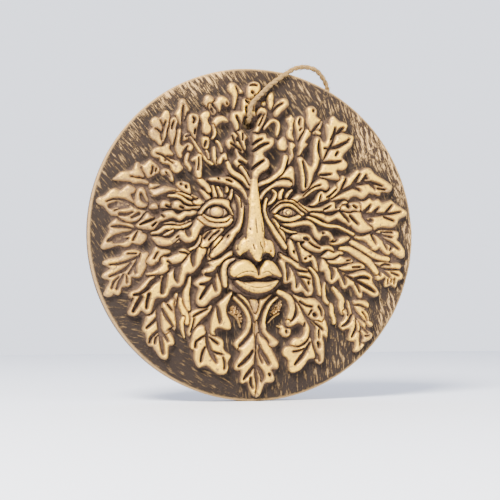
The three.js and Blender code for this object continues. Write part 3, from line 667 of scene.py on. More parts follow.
        14, -12, 17, -13.6, 25.2, -17, 26.4, -19.4, 31, -21.4, 31.7, -22.5, 33.4, -24.8, 34.2, -27,
        34.3, -30, 35.1, -33, 34.7, -35.6, 33.4, -37.2, 31.4, -37.6, 29.4, -36.6, 28.2, -34.8, 24, -35.6,
        22, -34.6, 21.2, -32, 20.9, -29.4, 18, -29.9, 15.8, -29.5, 15.4, -26, 14.9, -22.4, 13, -17,
        14.6, -15.6, 17.4, -17.2, 20, -18.8, 20.6, -18.2, 15, -15,
    ), (
        Cut((0.9, 1, 0.9, 0.3), (18.2, -18.2, 18.9, -22, 18.9, -25, 18.5, -27.8)),
        Cut((0.7, 1, 1.1, 1, 0.3), (20.4, -19, 22.8, -22, 24.4, -25.4, 24.9, -28.8, 24.2, -32)),
        Cut((0.3, 0.5, 0.4, 0.2), (23.4, -21.6, 26.4, -22.4, 29, -22.6, 31.4, -23)),
        Cut((0.4, 0.5, 0.4, 0.2), (25.6, -25.8, 28, -26, 30.4, -26.3, 32.8, -27.2)),
        Cut((1, 0.9, 0.7, 0.3), (25.6, -26.6, 28, -29.4, 29.8, -32, 31.6, -34.6)),
        Cut((0.4, 0.3), (31.8, -29, 32, -30.2)),
    )),
    "right strip": Tendril(4, (
        32.6, -20.4, 35.4, -23.3, 37.3, -26.4, 38, -29.6, 38.6, -33, 39.6, -36,
    ), (0.5, 0.9, 1.1, 1.1, 1.1, 1.2)),
    "right strip low": Tendril(3.8, (
        42.2, -29.6, 41.6, -33.4, 42, -36.6, 42.7, -39.6, 44.2, -41.4, 45.6, -42.2,
    ), (0.5, 0.9, 1, 1.1, 0.9, 0.6)),
    "right strip tail": Tendril(3.4, (
        46.6, -42.8, 46.8, -45.2, 47, -48, 48.2, -50.4, 48.4, -53.6,
    ), (1.1, 1.2, 1.1, 0.9, 0.8)),
    "right diagonal top": Blade(4.6, (
        40.2, -14.6, 46.2, -14.8, 50.4, -13, 54.2, -11.8, 53.4, -10.4, 51, -10.2, 48.4, -10.8, 47.6, -10.2,
        47.6, -8.6, 45.4, -7.2, 42.4, -6.8, 40.2, -7.8, 40.6, -9, 43.4, -9.2, 43.7, -10.6, 40.4, -13.2,
    ), (
        Cut((0.3, 0.3, 0.2), (44.4, -8.7, 46.2, -9.4, 47.4, -10.4)),
    )),
    "right diagonal second": Blade(4.6, (
        43, -16, 46, -15.8, 49, -15.4, 51, -13.8, 52.2, -13, 56.2, -14.1, 58.5, -14.2, 60.3, -15.6,
        59.8, -17.2, 57.6, -17, 51, -18.1, 44.6, -17.6,
    ), (
        Cut((0.3, 0.3), (56.6, -15.8, 59, -15.4)),
    )),
    "right diagonal third": Blade(4.6, (
        51.4, -20.4, 54, -19.5, 60, -17.5, 64, -17, 67.6, -18.6, 67.8, -20.8, 63.4, -21.3, 57, -22,
        53, -21.7,
    ), (
        Cut((0.2, 0.3), (60, -19.8, 65, -19.6)),
    )),
    "right diagonal": Blade(5.4, (
        40, -15.2, 42.6, -16.2, 44, -18.2, 47, -19.8, 49.6, -20.4, 51.2, -21.8, 54, -23, 57, -24.6,
        59.6, -23.8, 66.5, -21.6, 70, -23, 72.6, -25.5, 72.6, -28.4, 76.8, -34.4, 76.3, -37.1, 73.5, -37.9,
        71, -36.9, 66.4, -34.4, 66.4, -36.8, 65.4, -38.9, 63.4, -38.2, 60.2, -32.6, 58.8, -31.2,
        57.2, -31.6, 55.6, -33, 53.4, -32.6, 51.4, -28.2, 50.4, -27.8, 48.6, -29.2, 46.6, -30.1,
        44.8, -29.4, 43, -27, 41.6, -22.6, 40, -22.8, 38.8, -21,
    ), (
        Cut((0.8, 1, 0.9, 0.4), (45.4, -19.6, 46.8, -22, 47, -24.4, 46.5, -26.8)),
        Cut((0.8, 0.9, 0.9, 0.5), (51.2, -21.6, 53, -24.2, 54.5, -27.6, 55, -30)),
        Cut((0.5, 0.6, 0.7, 0.8, 0.4), (55.4, -24.4, 60, -27.2, 65, -29.6, 70.5, -32.6, 74, -34.8)),
        Cut((0.5, 0.7, 0.5), (61.6, -26.6, 66.8, -25.8, 70.4, -26.6)),
        Cut((0.7, 0.5, 0.2), (61.8, -29.4, 63.2, -32, 64.4, -35)),
    )),
    "right low main": Tendril(4.2, (
        47.6, -32.4, 50.6, -36, 53, -39.8, 52.7, -43.6, 54, -47,
    ), (0.7, 1.5, 1.7, 1.4, 1.6)),
    "beard right leaf": Blade(4.6, (
        21.2, -35.4, 23.6, -37, 29.6, -38.8, 33, -38.4, 36, -38.9, 38.6, -40.8, 40.6, -43.4, 42.2, -47,
        42.2, -50, 43.2, -53, 41, -56, 38.6, -54.6, 31.4, -49, 28, -44, 24.8, -40, 22.6, -37.8,
    ), (
        Cut((0.4, 0.4, 0.3, 0.2), (26.6, -40.6, 28.4, -42, 31, -43.2, 34.4, -43.8)),
        Cut((0.3, 0.2), (34.2, -45.8, 32.2, -48.8)),
        Cut((1, 0.9), (35.8, -48.4, 36.4, -49)),
        Cut((0.4, 0.5, 0.3), (38.4, -43.6, 40, -46, 40.6, -49)),
    )),
    "chin band right": Tendril(4.8, (
        13, -35, 17, -37, 20, -39.4, 21.4, -43, 21.2, -47, 19.4, -52,
    ), (1.3, 1.6, 1.9, 1.9, 1.7, 1.5)),
    "moustache left": Tendril(4.6, (
        -14, -15.9, -17, -17, -19.3, -19, -20, -22.5, -20, -27, -19.6, -31.4,
    ), (0.9, 1.2, 1.6, 1.8, 1.7, 1.2)),
    "temple leaf upper": Blade(4.4, (
        -62.4, 20.6, -63, 22.4, -60.4, 24, -56.4, 26.6, -50.6, 25.4, -47.6, 25.4, -40.4, 22.6, -35.2, 20.4,
        -37.4, 20.4, -44.6, 22.4, -47.6, 23.8, -50.8, 23.9, -54, 23.2, -57, 21.7,
    )),
    "temple ridge one": Tendril(4, (
        -48.6, 22.6, -46, 22.4, -42.6, 21.4, -39.8, 20.2,
    ), (0.5, 0.7, 0.6, 0.4)),
    "temple ridge two": Tendril(4, (
        -53, 21.2, -48.6, 21.2, -45.4, 20, -43, 18.2, -39.4, 17, -34.6, 16.8,
    ), (0.5, 0.8, 0.8, 0.8, 0.7, 0.6)),
    "temple ridge three": Blade(4.2, (
        -38.6, 18.6, -36.4, 19, -34.6, 20.2, -33.4, 18.8, -30.8, 18, -31.6, 16.8, -34.4, 16.3, -37, 16.6,
        -38.6, 17.4,
    )),
    "temple plate": Blade(4, (
        -48.4, 27.6, -47.8, 29.2, -45, 29.8, -42, 29.3, -40.6, 27.6, -40.3, 22.7, -46, 25.2,
    ), (
        Cut((0.6, 0.6), (-46, 28.6, -45.6, 28.2)),
        Cut((0.6, 0.5), (-43, 27.2, -42.6, 26.2)),
    )),
    "left front upper": Blade(5.2, (
        -64.6, 13.6, -63.6, 16, -61.2, 16.8, -59.2, 15.6, -57.6, 17.6, -56.2, 18.5, -54, 18.3, -52, 17.1,
        -51.2, 17.1, -50, 18.1, -47.6, 18.4, -46, 17.6, -44.5, 15.9, -40, 14.9, -34.6, 15.4, -34.4, 14.4,
        -37.4, 13.9, -43.5, 12.9, -47, 13, -50, 13.7, -53, 13.6, -55.6, 14, -58.6, 13.8, -61.6, 13.2,
    ), (
        Cut((0.5, 0.6, 0.3), (-54.6, 15.3, -53, 14.7, -51.6, 14.4)),
        Cut((0.6, 0.5), (-46.2, 14.9, -44.5, 14.1)),
        Cut((0.5, 0.4), (-59, 15.2, -58.6, 13.2)),
        Cut((0.3, 0.4), (-51.5, 17.6, -51.6, 16)),
    )),
    "left front lower": Blade(5.6, (
        -35, 12.4, -36.8, 12.2, -39, 12.9, -41, 12.1, -44, 12.2, -48, 10.1, -50.4, 12.2, -52, 12.6,
        -55, 12.1, -57.2, 10.7, -59, 8.6, -61.4, 8.4, -63.6, 9.4, -65.8, 11, -69, 7, -72.4, 3.4, -71, 2,
        -64.6, 0.9, -62, 1.4, -58.9, 5.4, -57, 6.4, -51.5, 8.3, -49.5, 8, -48, 6.9, -45.8, 6.9, -43, 9.3,
        -40.5, 9.3, -38, 10.3, -36, 10.9,
    ), (
        Cut((0.3, 0.5, 0.6, 0.4), (-70, 4, -66.6, 5.6, -63, 7, -59.6, 8.6)),
        Cut((0.4, 0.3), (-62.6, 3.4, -60.6, 5.4)),
        Cut((0.3, 0.3), (-57.4, 9.8, -56, 8.6)),
    )),
    "under eye thin": Tendril(3.8, (
        -63, -0.9, -58.6, 0, -55, 2.6, -50.6, 2.5, -46, 2.8, -42, 4.4, -39.2, 6,
    ), (0.5, 0.9, 0.9, 0.9, 0.9, 1, 0.8)),
    "under eye wisp": Tendril(2.6, (-56, 5, -51, 5.6, -46.4, 4.9, -40, 7.4), (0.4, 0.5, 0.5, 0.4)),
    "under eye broad": Blade(5.4, (
        -20.4, 2.2, -23.6, 3.2, -30.4, 3.9, -32.6, 3.4, -34.2, 2, -35.1, 0, -37, -4, -39, -5.6, -41.5, -6.4,
        -44.4, -5.9, -46.4, -4.1, -48, -4.2, -52.5, -7.9, -58, -8.3, -60.6, -7, -63.2, -3.4, -57.6, -3.1,
        -55.4, -3.9, -52.6, -3.9, -50.2, -2.9, -46.8, 0.8, -44.6, 0.5, -43, 1.6, -41, 1.8, -39.4, 3.4,
        -37, 8.4, -35.4, 9.8, -33, 8.4, -29.6, 6.6, -26.4, 5.6, -22.4, 5.5, -19.2, 6.6, -17, 8.2,
        -15.4, 8.6, -15.8, 6,
    ), (
        Cut((1, 1.4, 1), (-41.8, 2, -42, 0.2, -41.4, -1.6)),
        Cut((0.4, 0.3), (-50.6, -5.6, -47.6, -2.6)),
    )),
    "hatch ridge under eye": Tendril(2.8, (-56, -2.2, -53, -0.8, -50.4, 0.8), (0.4, 0.7, 0.5)),
    "left cheek lower rib": Blade(5, (
        -24, 2.4, -29.4, 0.6, -32, -1.2, -34, -3.6, -35, -6, -34, -8.6, -31.6, -8.6, -29.8, -8.6,
        -28.6, -6.6, -23.6, -1.6, -20.6, 1.4, -21.4, 2.8,
    ), (
        Cut((0.4, 0.6, 0.4), (-23.4, 0.9, -26.4, -1.4, -29.4, -4.4)),
        Cut((0.4, 0.8, 0.6), (-28, 0.4, -30, -1.2, -32, -3.6)),
    )),
    "left cheek rim": Tendril(4.4, (
        -34.4, -2.4, -35.4, -6, -37.6, -8.8, -40.6, -10.3,
    ), (0.4, 0.6, 0.6, 0.5)),
    "lash one": Tendril(4.4, (-27.2, 27.4, -26.5, 24.6, -25.6, 21.6, -25, 18.6), (0.5, 0.9, 1, 0.9)),
    "lash two": Tendril(4.4, (-24.3, 27, -23, 24.6, -22, 22, -21.2, 18.6), (0.4, 0.8, 0.9, 0.8)),
    "lash three": Tendril(4.2, (-19, 27.6, -18.3, 26, -18.6, 24.4), (0.4, 0.6, 0.6)),
    "lash four": Tendril(4.2, (-15.4, 25.6, -16, 22.4, -17.4, 19), (0.4, 0.6, 0.9)),
    "lash oval": Blade(5, (
        -35.2, 25, -32.4, 24.7, -29.6, 22.7, -27.9, 20.2, -28, 18.4, -30, 18.2, -31.6, 19.6,
    )),
    "inner arch": Tendril(4.8, (
        -35.6, 35, -35, 31.6, -33, 29.2, -30.8, 27.2, -29.4, 24.6,
    ), (1.4, 1.5, 1.6, 1.5, 1.2)),
    "right lid plate": Blade(5.6, (
        14, 20.6, 18, 20.4, 22.4, 21.2, 24.6, 20.1, 28.4, 17.1, 34, 15.6, 40, 16.4, 42.6, 17.5, 47, 20.4,
        48.5, 19.6, 48.9, 18, 48.8, 16.6, 50.2, 16.4, 54, 20.2, 56, 20.7, 57.2, 19.6, 56, 18.5, 54.2, 18,
        51.4, 15.2, 43, 13.5, 41, 13.9, 38, 13.5, 35, 13.6, 30.4, 12.7, 28.4, 13.6, 23, 17.6, 20, 18.8,
        17, 18.9, 14, 18,
    ), (
        Cut((0.3, 0.4, 0.2), (41.4, 14.8, 43.6, 15.9, 45.6, 17.2)),
        Cut((0.7, 0.6, 0.5), (49.6, 16.4, 51, 18.6, 53.4, 21.2)),
    )),
    "right front lower": Blade(5.6, (
        32.6, 12.4, 35, 12.9, 41, 12.3, 42.5, 11.4, 46.5, 11.2, 50, 13.1, 51.6, 13.7, 53, 13.1, 54.6, 13.9,
        57, 13.4, 59.6, 13.6, 62, 14.6, 65, 14.4, 66.3, 10.6, 69.8, 6.5, 72.3, 4.6, 72.6, 3.2, 70, 2,
        66, 1.1, 62.6, 1.9, 60.6, 3.5, 58.8, 5.6, 57.4, 5, 56, 6.4, 54, 7, 50.5, 9.1, 49, 9.3, 45, 7.3,
        43, 7.4, 41, 8.6, 36, 10.8, 33.6, 11.3,
    ), (
        Cut((0.5, 0.6, 0.5, 0.3), (52.6, 13.4, 54.4, 11.4, 56.3, 9.5, 57.6, 7.6)),
        Cut((0.5, 0.5, 0.3), (58.4, 11.4, 61, 8.6, 63.4, 6.4)),
    )),
    "right front upper": Blade(5.2, (
        52.6, 15, 58, 14, 61, 14.8, 64.8, 14.6, 65, 17, 64.2, 19.8, 59.4, 19.7, 57.6, 18.4, 55.4, 17.8,
        53.8, 17.6,
    ), (
        Cut((0.8, 0.7), (57, 17.4, 57.8, 16.8)),
        Cut((0.3, 0.4), (60.6, 17.8, 62.8, 16.4)),
    )),
    "bag right tail": Tendril(4.6, (
        31.6, 9.6, 35.6, 8.2, 40, 6.2, 45, 5, 50, 4.7, 55, 2.8, 60.4, 0.4,
    ), (0.9, 1, 0.9, 0.9, 0.7, 0.6, 0.7)),
    "bag right": Blade(5.4, (
        14.6, 5.8, 17, 6, 20, 6.7, 28, 7.9, 31, 8.1, 33.6, 7, 35.4, 5.4, 38.4, 1.2, 41.6, 2, 44, 1.9,
        46, 0.6, 48.8, -3.4, 51, -2.2, 53.6, -1.2, 57, -0.9, 58.5, -2, 56.6, -3.9, 53.6, -5.4, 50, -6.2,
        47, -6.2, 45.4, -5, 45.6, -3.2, 44.2, -1.5, 42, -1.1, 40, -1.7, 38.8, -3.9, 37.4, -3.6, 35.4, -2,
        34.2, 0.4, 32.8, 4.5, 28, 5.1, 22, 3.8, 19, 4, 15.6, 5,
    ), (
        Cut((0.6, 0.5), (41.2, 0.6, 41, 0.4)),
        Cut((0.5, 0.4), (47.2, -3.8, 46.9, -4.5)),
        Cut((0.3, 0.4, 0.2), (45.6, -4.6, 48.4, -4.4, 50.4, -3.2)),
    )),
    "right cheek band": Blade(5, (
        20.6, -2.6, 23.4, 0.3, 31.4, -0.2, 34, -2.5, 38.4, -6.6, 40.4, -7.2, 43, -6.8, 46, -7.3, 47.9, -9,
        47.8, -10.4, 43.6, -9, 39.6, -10.9, 36.4, -11, 33, -10.2, 30, -8.8, 28, -6.6, 31, -3.9, 29.4, -4.4,
        23, -4,
    ), (
        Cut((0.6, 0.9, 0.7), (29, -2.8, 30.2, -3, 31.4, -3.4)),
        Cut((0.2, 0.3, 0.2), (32, -5, 35.4, -7.4, 39, -8.6)),
    )),
    "brow stem one": Blade(5.2, (
        20.6, 20.4, 24.6, 23.6, 27.2, 23.6, 29.2, 24.4, 30.4, 26.6, 32.4, 29, 35, 30.6, 39.4, 33.8,
        43, 33.4, 44.6, 31.2, 45.2, 29, 44, 27.2, 42.5, 26.6, 40.6, 27.4, 38.4, 27.4, 35, 26.1, 29.5, 22.1,
        27, 21.1, 24.4, 19.4, 22, 19.2,
    ), (
        Cut((0.2, 0.3, 0.3, 0.2), (28.4, 22.6, 31.6, 25.6, 35.4, 28.4, 39.4, 29.8)),
    )),
    "brow stem two": Blade(5, (
        32.4, 17.4, 34.4, 18.6, 36.4, 20.8, 38.6, 25, 40.6, 26.1, 41.8, 25.2, 43.5, 25.1, 45, 26.5, 50, 31,
        51.6, 33.6, 54.4, 33.4, 53.4, 30, 52.2, 27.2, 48, 23.1, 42, 20.1, 39.4, 19.5, 35.4, 17,
    ), (
        Cut((0.2, 0.3, 0.2), (39.8, 23.8, 39.4, 22, 38.8, 19.8)),
        Cut((0.2, 0.2, 0.2), (43.6, 22.4, 46.6, 24.4, 49.4, 27)),
    )),
    "right high lower": Blade(4.8, (
        46.4, 20.6, 49, 21, 55, 21.8, 57.4, 20.9, 59.4, 22.7, 62, 23.5, 66, 22.1, 69, 23.5, 70.5, 25.1,
        72, 25.5, 78, 24.4, 79.1, 26.6, 84, 26.6, 86, 28.8, 85.6, 31, 81, 34.2, 75.2, 37.2, 72.4, 40.6,
        70.2, 41.4, 67.8, 40.9, 65, 39.2, 63.2, 39.9, 57.8, 35.3, 56, 35.2, 54.2, 36.1, 52.6, 34.8,
        51.2, 32.4, 50.4, 29.6, 50.8, 27.6, 46, 22.6,
    ), (
        Cut((0.7, 0.8, 0.9, 0.9, 0.8, 0.8, 0.6, 0.2), (
            46.6, 22, 50, 24.3, 55, 27, 61, 29.8, 64, 31, 70, 32.2, 75, 31.7, 79.6, 30.2,
        )),
        Cut((1.1, 0.9, 0.4), (60.2, 29.8, 62.6, 33.4, 64.9, 37.2)),
        Cut((1, 0.8, 0.4), (66, 31.6, 67.6, 34, 69, 36.6)),
        Cut((0.4, 0.4), (69.5, 34.9, 69.9, 34.5)),
        Cut((0.5, 0.6, 0.3), (52.6, 27.6, 54.8, 31, 56.2, 34.2)),
        Cut((0.7, 0.6, 0.2), (61.4, 28.8, 63.5, 28, 65.3, 26.8)),
        Cut((0.7, 0.6, 0.2), (72, 30.9, 73.8, 29.8, 74.6, 28)),
        Cut((0.3, 0.3), (76.4, 28.7, 81.4, 28.1)),
    )),
    "right rib thin": Tendril(5, (
        9.8, 8, 13, 3.6, 15, 0.4, 16, -3, 16.8, -6.6, 17.4, -9.8,
    ), (0.5, 0.8, 1, 1.1, 1, 0.8)),
    "right rib broad": Blade(5.4, (
        19.9, -3.4, 21.8, -5.4, 25, -14, 25.3, -16.8, 21.4, -14.4, 19.8, -12, 18.3, -6.8, 19, -4.6,
    ), (
        Cut((0.4, 0.4), (22.4, -10.6, 22.6, -11.4)),
    )),
    "right ridge": Tendril(4.4, (14.6, 3.4, 17.6, 1.8, 21, 0.9, 24, 0.8), (0.4, 0.6, 0.5, 0.3)),
    "chin vee": Blade(4.4, (
        -11.4, -37, -9.4, -37.2, -5.4, -40.6, -1.8, -46.6, -0.6, -47.6, 0.6, -41.4, 1.8, -39.7, 4.6, -38.9,
        7, -37.2, 9.2, -36.3, 6, -39.8, 2.8, -45, 0.6, -51, -0.2, -54, -1.4, -54, -1.6, -51, -2.6, -48,
        -6.4, -42.2,
    )),
    "chin heart": Blade(2.9, (-3.8, -39.5, 0, -39.8, 0.6, -41.6, -0.5, -47.4, -1.8, -46, -4, -41.4)),
    "beard stem thin": Tendril(3.6, (
        -1.4, -54, -1.2, -58, -1, -62, -0.9, -66, -0.8, -70,
    ), (0.4, 0.5, 0.5, 0.5, 0.4)),
    "beard stem brown": Tendril(2.2, (0.2, -53, 0.6, -58, 0.8, -62.6, 0.9, -68), (0.5, 0.9, 0.9, 0.7)),
    "beard left column": Blade(5, (
        -15, -35.2, -18, -42.6, -18.7, -46, -17.8, -49.4, -16.2, -52.6, -15.5, -55.6, -16.2, -57.2,
        -18.6, -57.5, -21.2, -56.5, -23.6, -56.3, -25.2, -57.3, -25.6, -59, -24.9, -60.8, -26.2, -61.6,
        -27.8, -60.6, -28.3, -57, -27.2, -49.6, -23.6, -42, -21.4, -40, -18.6, -37.4,
    ), (
        Cut((0.4, 0.8, 0.8, 0.3), (-24.2, -43.6, -23.3, -47.4, -22.7, -50.6, -22.4, -53.4)),
    ), softness=1.9),
    "bud": Blade(3.6, (
        12.6, -55.2, 14.6, -55.4, 16, -54.8, 17.6, -56.4, 19.4, -57.1, 21, -56.9, 21.4, -59, 20.5, -61,
        18, -61.9, 16, -61.1, 14.4, -59.2, 15, -57,
    ), (
        Cut((0.7, 0.6), (18.6, -58.4, 18.9, -59.2)),
    )),
    "upper left outer": Blade(4, (
        -58.2, 50.6, -60.6, 53.4, -63.4, 55, -64.9, 57.5, -64.4, 59.9, -62.3, 61.3, -63.4, 62.8,
        -64.1, 64.8, -62.8, 67, -60.8, 67.9, -58.6, 67.2, -56.6, 70.4, -55, 71.9, -53.2, 71, -52.5, 68.6,
        -52.8, 65.6, -54.4, 59.8, -54.8, 56.6, -57, 52.6,
    ), (
        Cut((0.2, 0.45, 0.5, 0.3), (-57.2, 54, -57.4, 57.4, -56.2, 61.2, -55, 65.4)),
        Cut((0.1, 0.35, 0.45), (-61.4, 60.9, -59.4, 60, -57.2, 57.8)),
        Cut((0.1, 0.3, 0.4), (-58.2, 66.2, -57.2, 64, -56.1, 61.8)),
    ), softness=1.6),
    "upper left lower": Blade(4.2, (
        -60, 49.8, -62.4, 48.6, -63.6, 46.6, -62.8, 44.6, -60.6, 43.6, -58.6, 43.6, -58.2, 41.8, -57, 40.6,
        -53, 40, -51.8, 38.4, -50.6, 36, -48.4, 34.8, -46, 36.2, -44.6, 38, -45.8, 39.6, -47.2, 41.8,
        -52, 42.8, -55.2, 45.2, -50.4, 45.6, -52.8, 49, -52.6, 51.6, -54.4, 52, -56, 50.4,
    ), (
        Cut((0.15, 0.35, 0.3, 0.2), (-60.4, 46.2, -57.4, 45.4, -54.6, 43.4, -50.6, 40.6)),
        Cut((0.15, 0.3), (-55.4, 42, -54.2, 42.9)),
    ), softness=1.5),
    "upper left inner": Blade(4.6, (
        -51.2, 51.6, -52.2, 54.6, -53.3, 57.6, -53, 60.6, -52, 62.8, -52.4, 65.2, -51.4, 67.2, -49.9, 68,
        -48.2, 67.4, -47.9, 65.4, -49.4, 61, -48.6, 59.8, -50.4, 53.4,
    ), (
        Cut((0.2, 0.45, 0.3), (-50.1, 65.6, -51, 63.2, -51.3, 61)),
    ), softness=1.5),
    "upper left thin": Blade(4, (
        -49.7, 69.6, -47.5, 73.4, -47.4, 76.4, -46.6, 78.6, -45, 79.4, -43.3, 78.8, -42.4, 76.6,
        -40.7, 72.4, -42.2, 71.4, -44, 66.8, -45.4, 65.4, -46.3, 63.6, -47.4, 66.4, -48.6, 68.4,
    ), (
        Cut((0.3, 0.6, 0.7, 0.6), (-44.4, 75.4, -44.6, 72, -44.7, 69, -45, 66)),
    )),
    "upper left knob leaf": Blade(5.2, (
        -38, 55.4, -41.6, 60.4, -42, 67, -41.2, 69.6, -39, 70.5, -34.8, 69.6, -35.2, 66.8, -36.6, 60.4,
        -37, 57,
    ), (
        Cut((0.2, 0.4, 0.2), (-38.8, 68.4, -37.7, 66.8, -38.5, 65)),
        Cut((0.2, 0.3), (-37.4, 61.2, -37.7, 58.6)),
    ), softness=1.6),
    "upper left ring": Blade(4, (
        -44.4, 54.4, -44, 56.8, -42.8, 58.6, -41.2, 58.8, -40.3, 57.4, -40.8, 55.8, -42.4, 55.2,
    ), (
        Cut((0.6, 0.6), (-42.6, 56.9, -42.2, 57.1)),
    )),
    "left long stem": Tendril(4.2, (
        -40.2, 56.4, -38, 53.4, -35.6, 49.6, -33.2, 46, -30.6, 42.8, -27.4, 40.6,
    ), (0.4, 0.5, 0.6, 0.6, 0.6, 0.7)),
    "inner hook leaf": Blade(4.6, (
        -39.8, 42.6, -38.6, 44.4, -36.6, 45.5, -35.4, 46.7, -33.8, 45.6, -33.3, 42, -33.4, 37, -33.8, 33,
        -36, 32.4, -37.4, 34, -37.6, 37.4, -37, 40.4, -37.4, 42.6, -38.6, 42.2,
    ), (
        Cut((0.2, 0.3, 0.3), (-35.4, 44.4, -35.2, 41, -35.8, 37)),
    )),
    "inner grey leaf": Blade(3.2, (
        -43.8, 43, -42.8, 46.4, -41.2, 48.4, -40.4, 47.4, -41.6, 42.2, -40.4, 40.4, -39.4, 38.2,
        -40.4, 36.2, -41.6, 38.4, -43.2, 40,
    )),
    "left high upper": Blade(4.2, (
        -74.4, 34.8, -73.9, 37.8, -72.6, 40, -70.8, 40.7, -68.2, 39, -64.4, 42.4, -62.4, 41, -60, 39.2,
        -58.4, 36.6, -58.8, 34.9, -60.8, 34.2, -63, 32.6, -66, 31.6, -70, 32.4, -73.6, 32.4,
    ), (
        Cut((0.3, 0.6, 0.7, 0.5), (-71, 39.6, -69.8, 36.4, -68.2, 33.4, -66.4, 31.6)),
        Cut((0.3, 0.5, 0.4), (-62.6, 38.6, -62.6, 36.4, -63.4, 34)),
        Cut((0.3, 0.4), (-60.4, 37.4, -60.8, 35.6)),
    )),
    "left high tuft": Blade(3.8, (
        -57.8, 35.6, -56, 37.2, -53.6, 37, -51.6, 35.4, -50.2, 30.6, -51.6, 30, -52.8, 32, -54.6, 34,
        -56.4, 33.4,
    ), (
        Cut((0.3, 0.4), (-54.6, 35.2, -52.6, 32.6)),
    )),
    "knob one": Blade(5.2, (
        -32.6, 78.4, -31.8, 81, -29.6, 82.3, -27.2, 81.4, -25.7, 79.4, -26.2, 77.6, -28, 75.4, -29, 73.6,
        -32.4, 76.6,
    )),
    "knob two": Blade(5.6, (
        -26.6, 77, -25.2, 78.6, -24.4, 80.7, -22, 81.9, -19.4, 81.3, -17.6, 79.8, -16.7, 77.7, -17.6, 75.8,
        -19.4, 75.7, -20.6, 77, -21.5, 76, -22.5, 72.2, -23.8, 73, -25.4, 75.4,
    ), (
        Cut((0.3, 0.3), (-18.4, 77.6, -18, 76.8)),
    )),
    "knob stem": Blade(4, (
        -29.4, 75.6, -27.8, 76.4, -26, 74.4, -24.4, 72, -27.4, 70.4,
    ), (
        Cut((0.3, 0.4, 0.4), (-28.4, 74.8, -27.2, 73, -26.2, 71.2)),
    )),
    "tulip spike": Blade(4.4, (
        -17.7, 86, -17.5, 88.4, -16, 90.1, -14, 90.3, -12, 89.1, -9.2, 86, -7.9, 84.5, -9.4, 83.7,
        -10.6, 83.5, -11.6, 82, -14, 74.4, -14.6, 80.4, -15.6, 83, -17, 84.4,
    ), (
        Cut((0.2, 0.4, 0.3), (-12.5, 87.8, -11.5, 85.4, -10.9, 83)),
    )),
    "hood arch": Blade(4.6, (
        -27.7, 63.4, -26.8, 66.4, -25, 68.8, -22.4, 69.8, -19.6, 69.4, -17.6, 67.6, -17.4, 65.8,
        -21.4, 66.2, -25.4, 62.8,
    ), softness=1.8),
    "hood arch tail": Tendril(3.6, (
        -26.8, 63.6, -25.8, 61.6, -25.3, 59.4, -26, 57.4, -26.9, 56.2,
    ), (0.6, 0.8, 0.7, 0.5, 0.4)),
    "oval leaf": Blade(4.4, (
        -33.5, 55.8, -32.2, 57, -30, 56.9, -28.7, 55.2, -29.6, 50.3, -31.6, 49.7, -32.9, 51.6,
    ), (
        Cut((0.5, 0.8, 0.5), (-31, 54, -31.3, 52.4, -31.5, 51.2)),
    )),
    "thin inner one": Tendril(3.4, (
        -24.4, 54.6, -22.7, 52.8, -21.8, 50.4, -21.4, 48,
    ), (0.5, 0.8, 0.7, 0.5)),
    "thin inner two": Tendril(3.8, (
        -26, 50.4, -26.1, 48, -26, 45.4, -25.4, 43, -24.4, 40.6,
    ), (0.7, 1, 0.9, 0.9, 0.7)),
    "thin inner three": Tendril(3, (-30.6, 48.6, -29.6, 46.4, -29.2, 44), (0.4, 0.6, 0.5)),
    "inner left finger": Blade(5, (
        -21.8, 46.2, -24.2, 42.4, -23.6, 40.8, -21.8, 40.9, -20.3, 44.2, -18.5, 36, -17.4, 33.6, -15.2, 33,
        -14.6, 34.6, -16.4, 37.6, -17.8, 42, -18.9, 47.3,
    ), (
        Cut((0.3, 0.3), (-16.8, 36.8, -17.4, 38.4)),
    )),
    "crown top left": Blade(6.2, (
        -15.9, 71.4, -13.6, 72.8, -10.8, 73.1, -9.3, 73.1, -9.5, 76, -9.3, 79, -8, 80.7, -3.4, 81.6,
        -1, 81.2, -0.2, 79.6, -1, 77, -1.2, 74.6, 0.6, 71, -0.6, 70, -5.6, 70.6, -8, 69.6, -8.6, 67.4,
        -9.4, 64.4, -9.6, 61.4, -11.4, 59.6, -12.6, 60.2, -15.2, 65.6, -16.5, 67.6,
    ), (
        Cut((0.2, 0.4, 0.6, 0.6, 0.4), (-12.8, 69.8, -11.8, 67.8, -10.6, 65.6, -10.3, 63.2, -10.8, 61.2)),
        Cut((0.3, 0.3), (-6.8, 79.4, -6.2, 78.8)),
        Cut((0.3, 0.3), (-5.4, 78.4, -4.8, 77.6)),
        Cut((0.2, 0.3, 0.2), (-6.6, 75.4, -6.4, 73, -5.6, 71.2)),
        Cut((0.2, 0.3, 0.2), (-3.2, 79.6, -2.6, 77, -2.6, 74)),
    )),
    "crown right curl": Blade(6, (
        -0.2, 73.2, 1.2, 75.2, 3.4, 76.1, 5.4, 74.9, 6.3, 72.4, 4, 66, 0.6, 60.2, -1, 59.8, -2.4, 60.6,
        -0.5, 64, 0.3, 66.6, 1.8, 69.2, 3.6, 71.6, 2.6, 72.4, 1, 71.6, 0.2, 70.8,
    ), (
        Cut((0.2, 0.3, 0.2), (4.6, 71.6, 3, 68, 1.2, 64.6)),
    )),
    "crown left one": Blade(5.4, (
        -12.4, 60, -10, 61.6, -8.6, 61.5, -7.4, 59.4, -5.4, 57, -6.8, 56.6, -7.6, 54, -6.8, 51, -7.4, 49.6,
        -8.8, 51.6, -10.4, 56.4, -12, 58,
    ), (
        Cut((0.2, 0.3, 0.2), (-8.8, 59.6, -8.6, 57.4, -8.8, 55.4)),
    )),
    "crown left two": Blade(6, (
        -16.3, 57, -15.7, 59.7, -14.2, 60.2, -11.8, 57.8, -11.9, 55.8, -11.2, 53.6, -8.4, 48.3, -11, 48.4,
        -15.4, 51.4, -16.6, 49.6, -18.2, 50.4, -19.6, 52.6, -19.3, 54.8, -17.8, 56.2,
    ), (
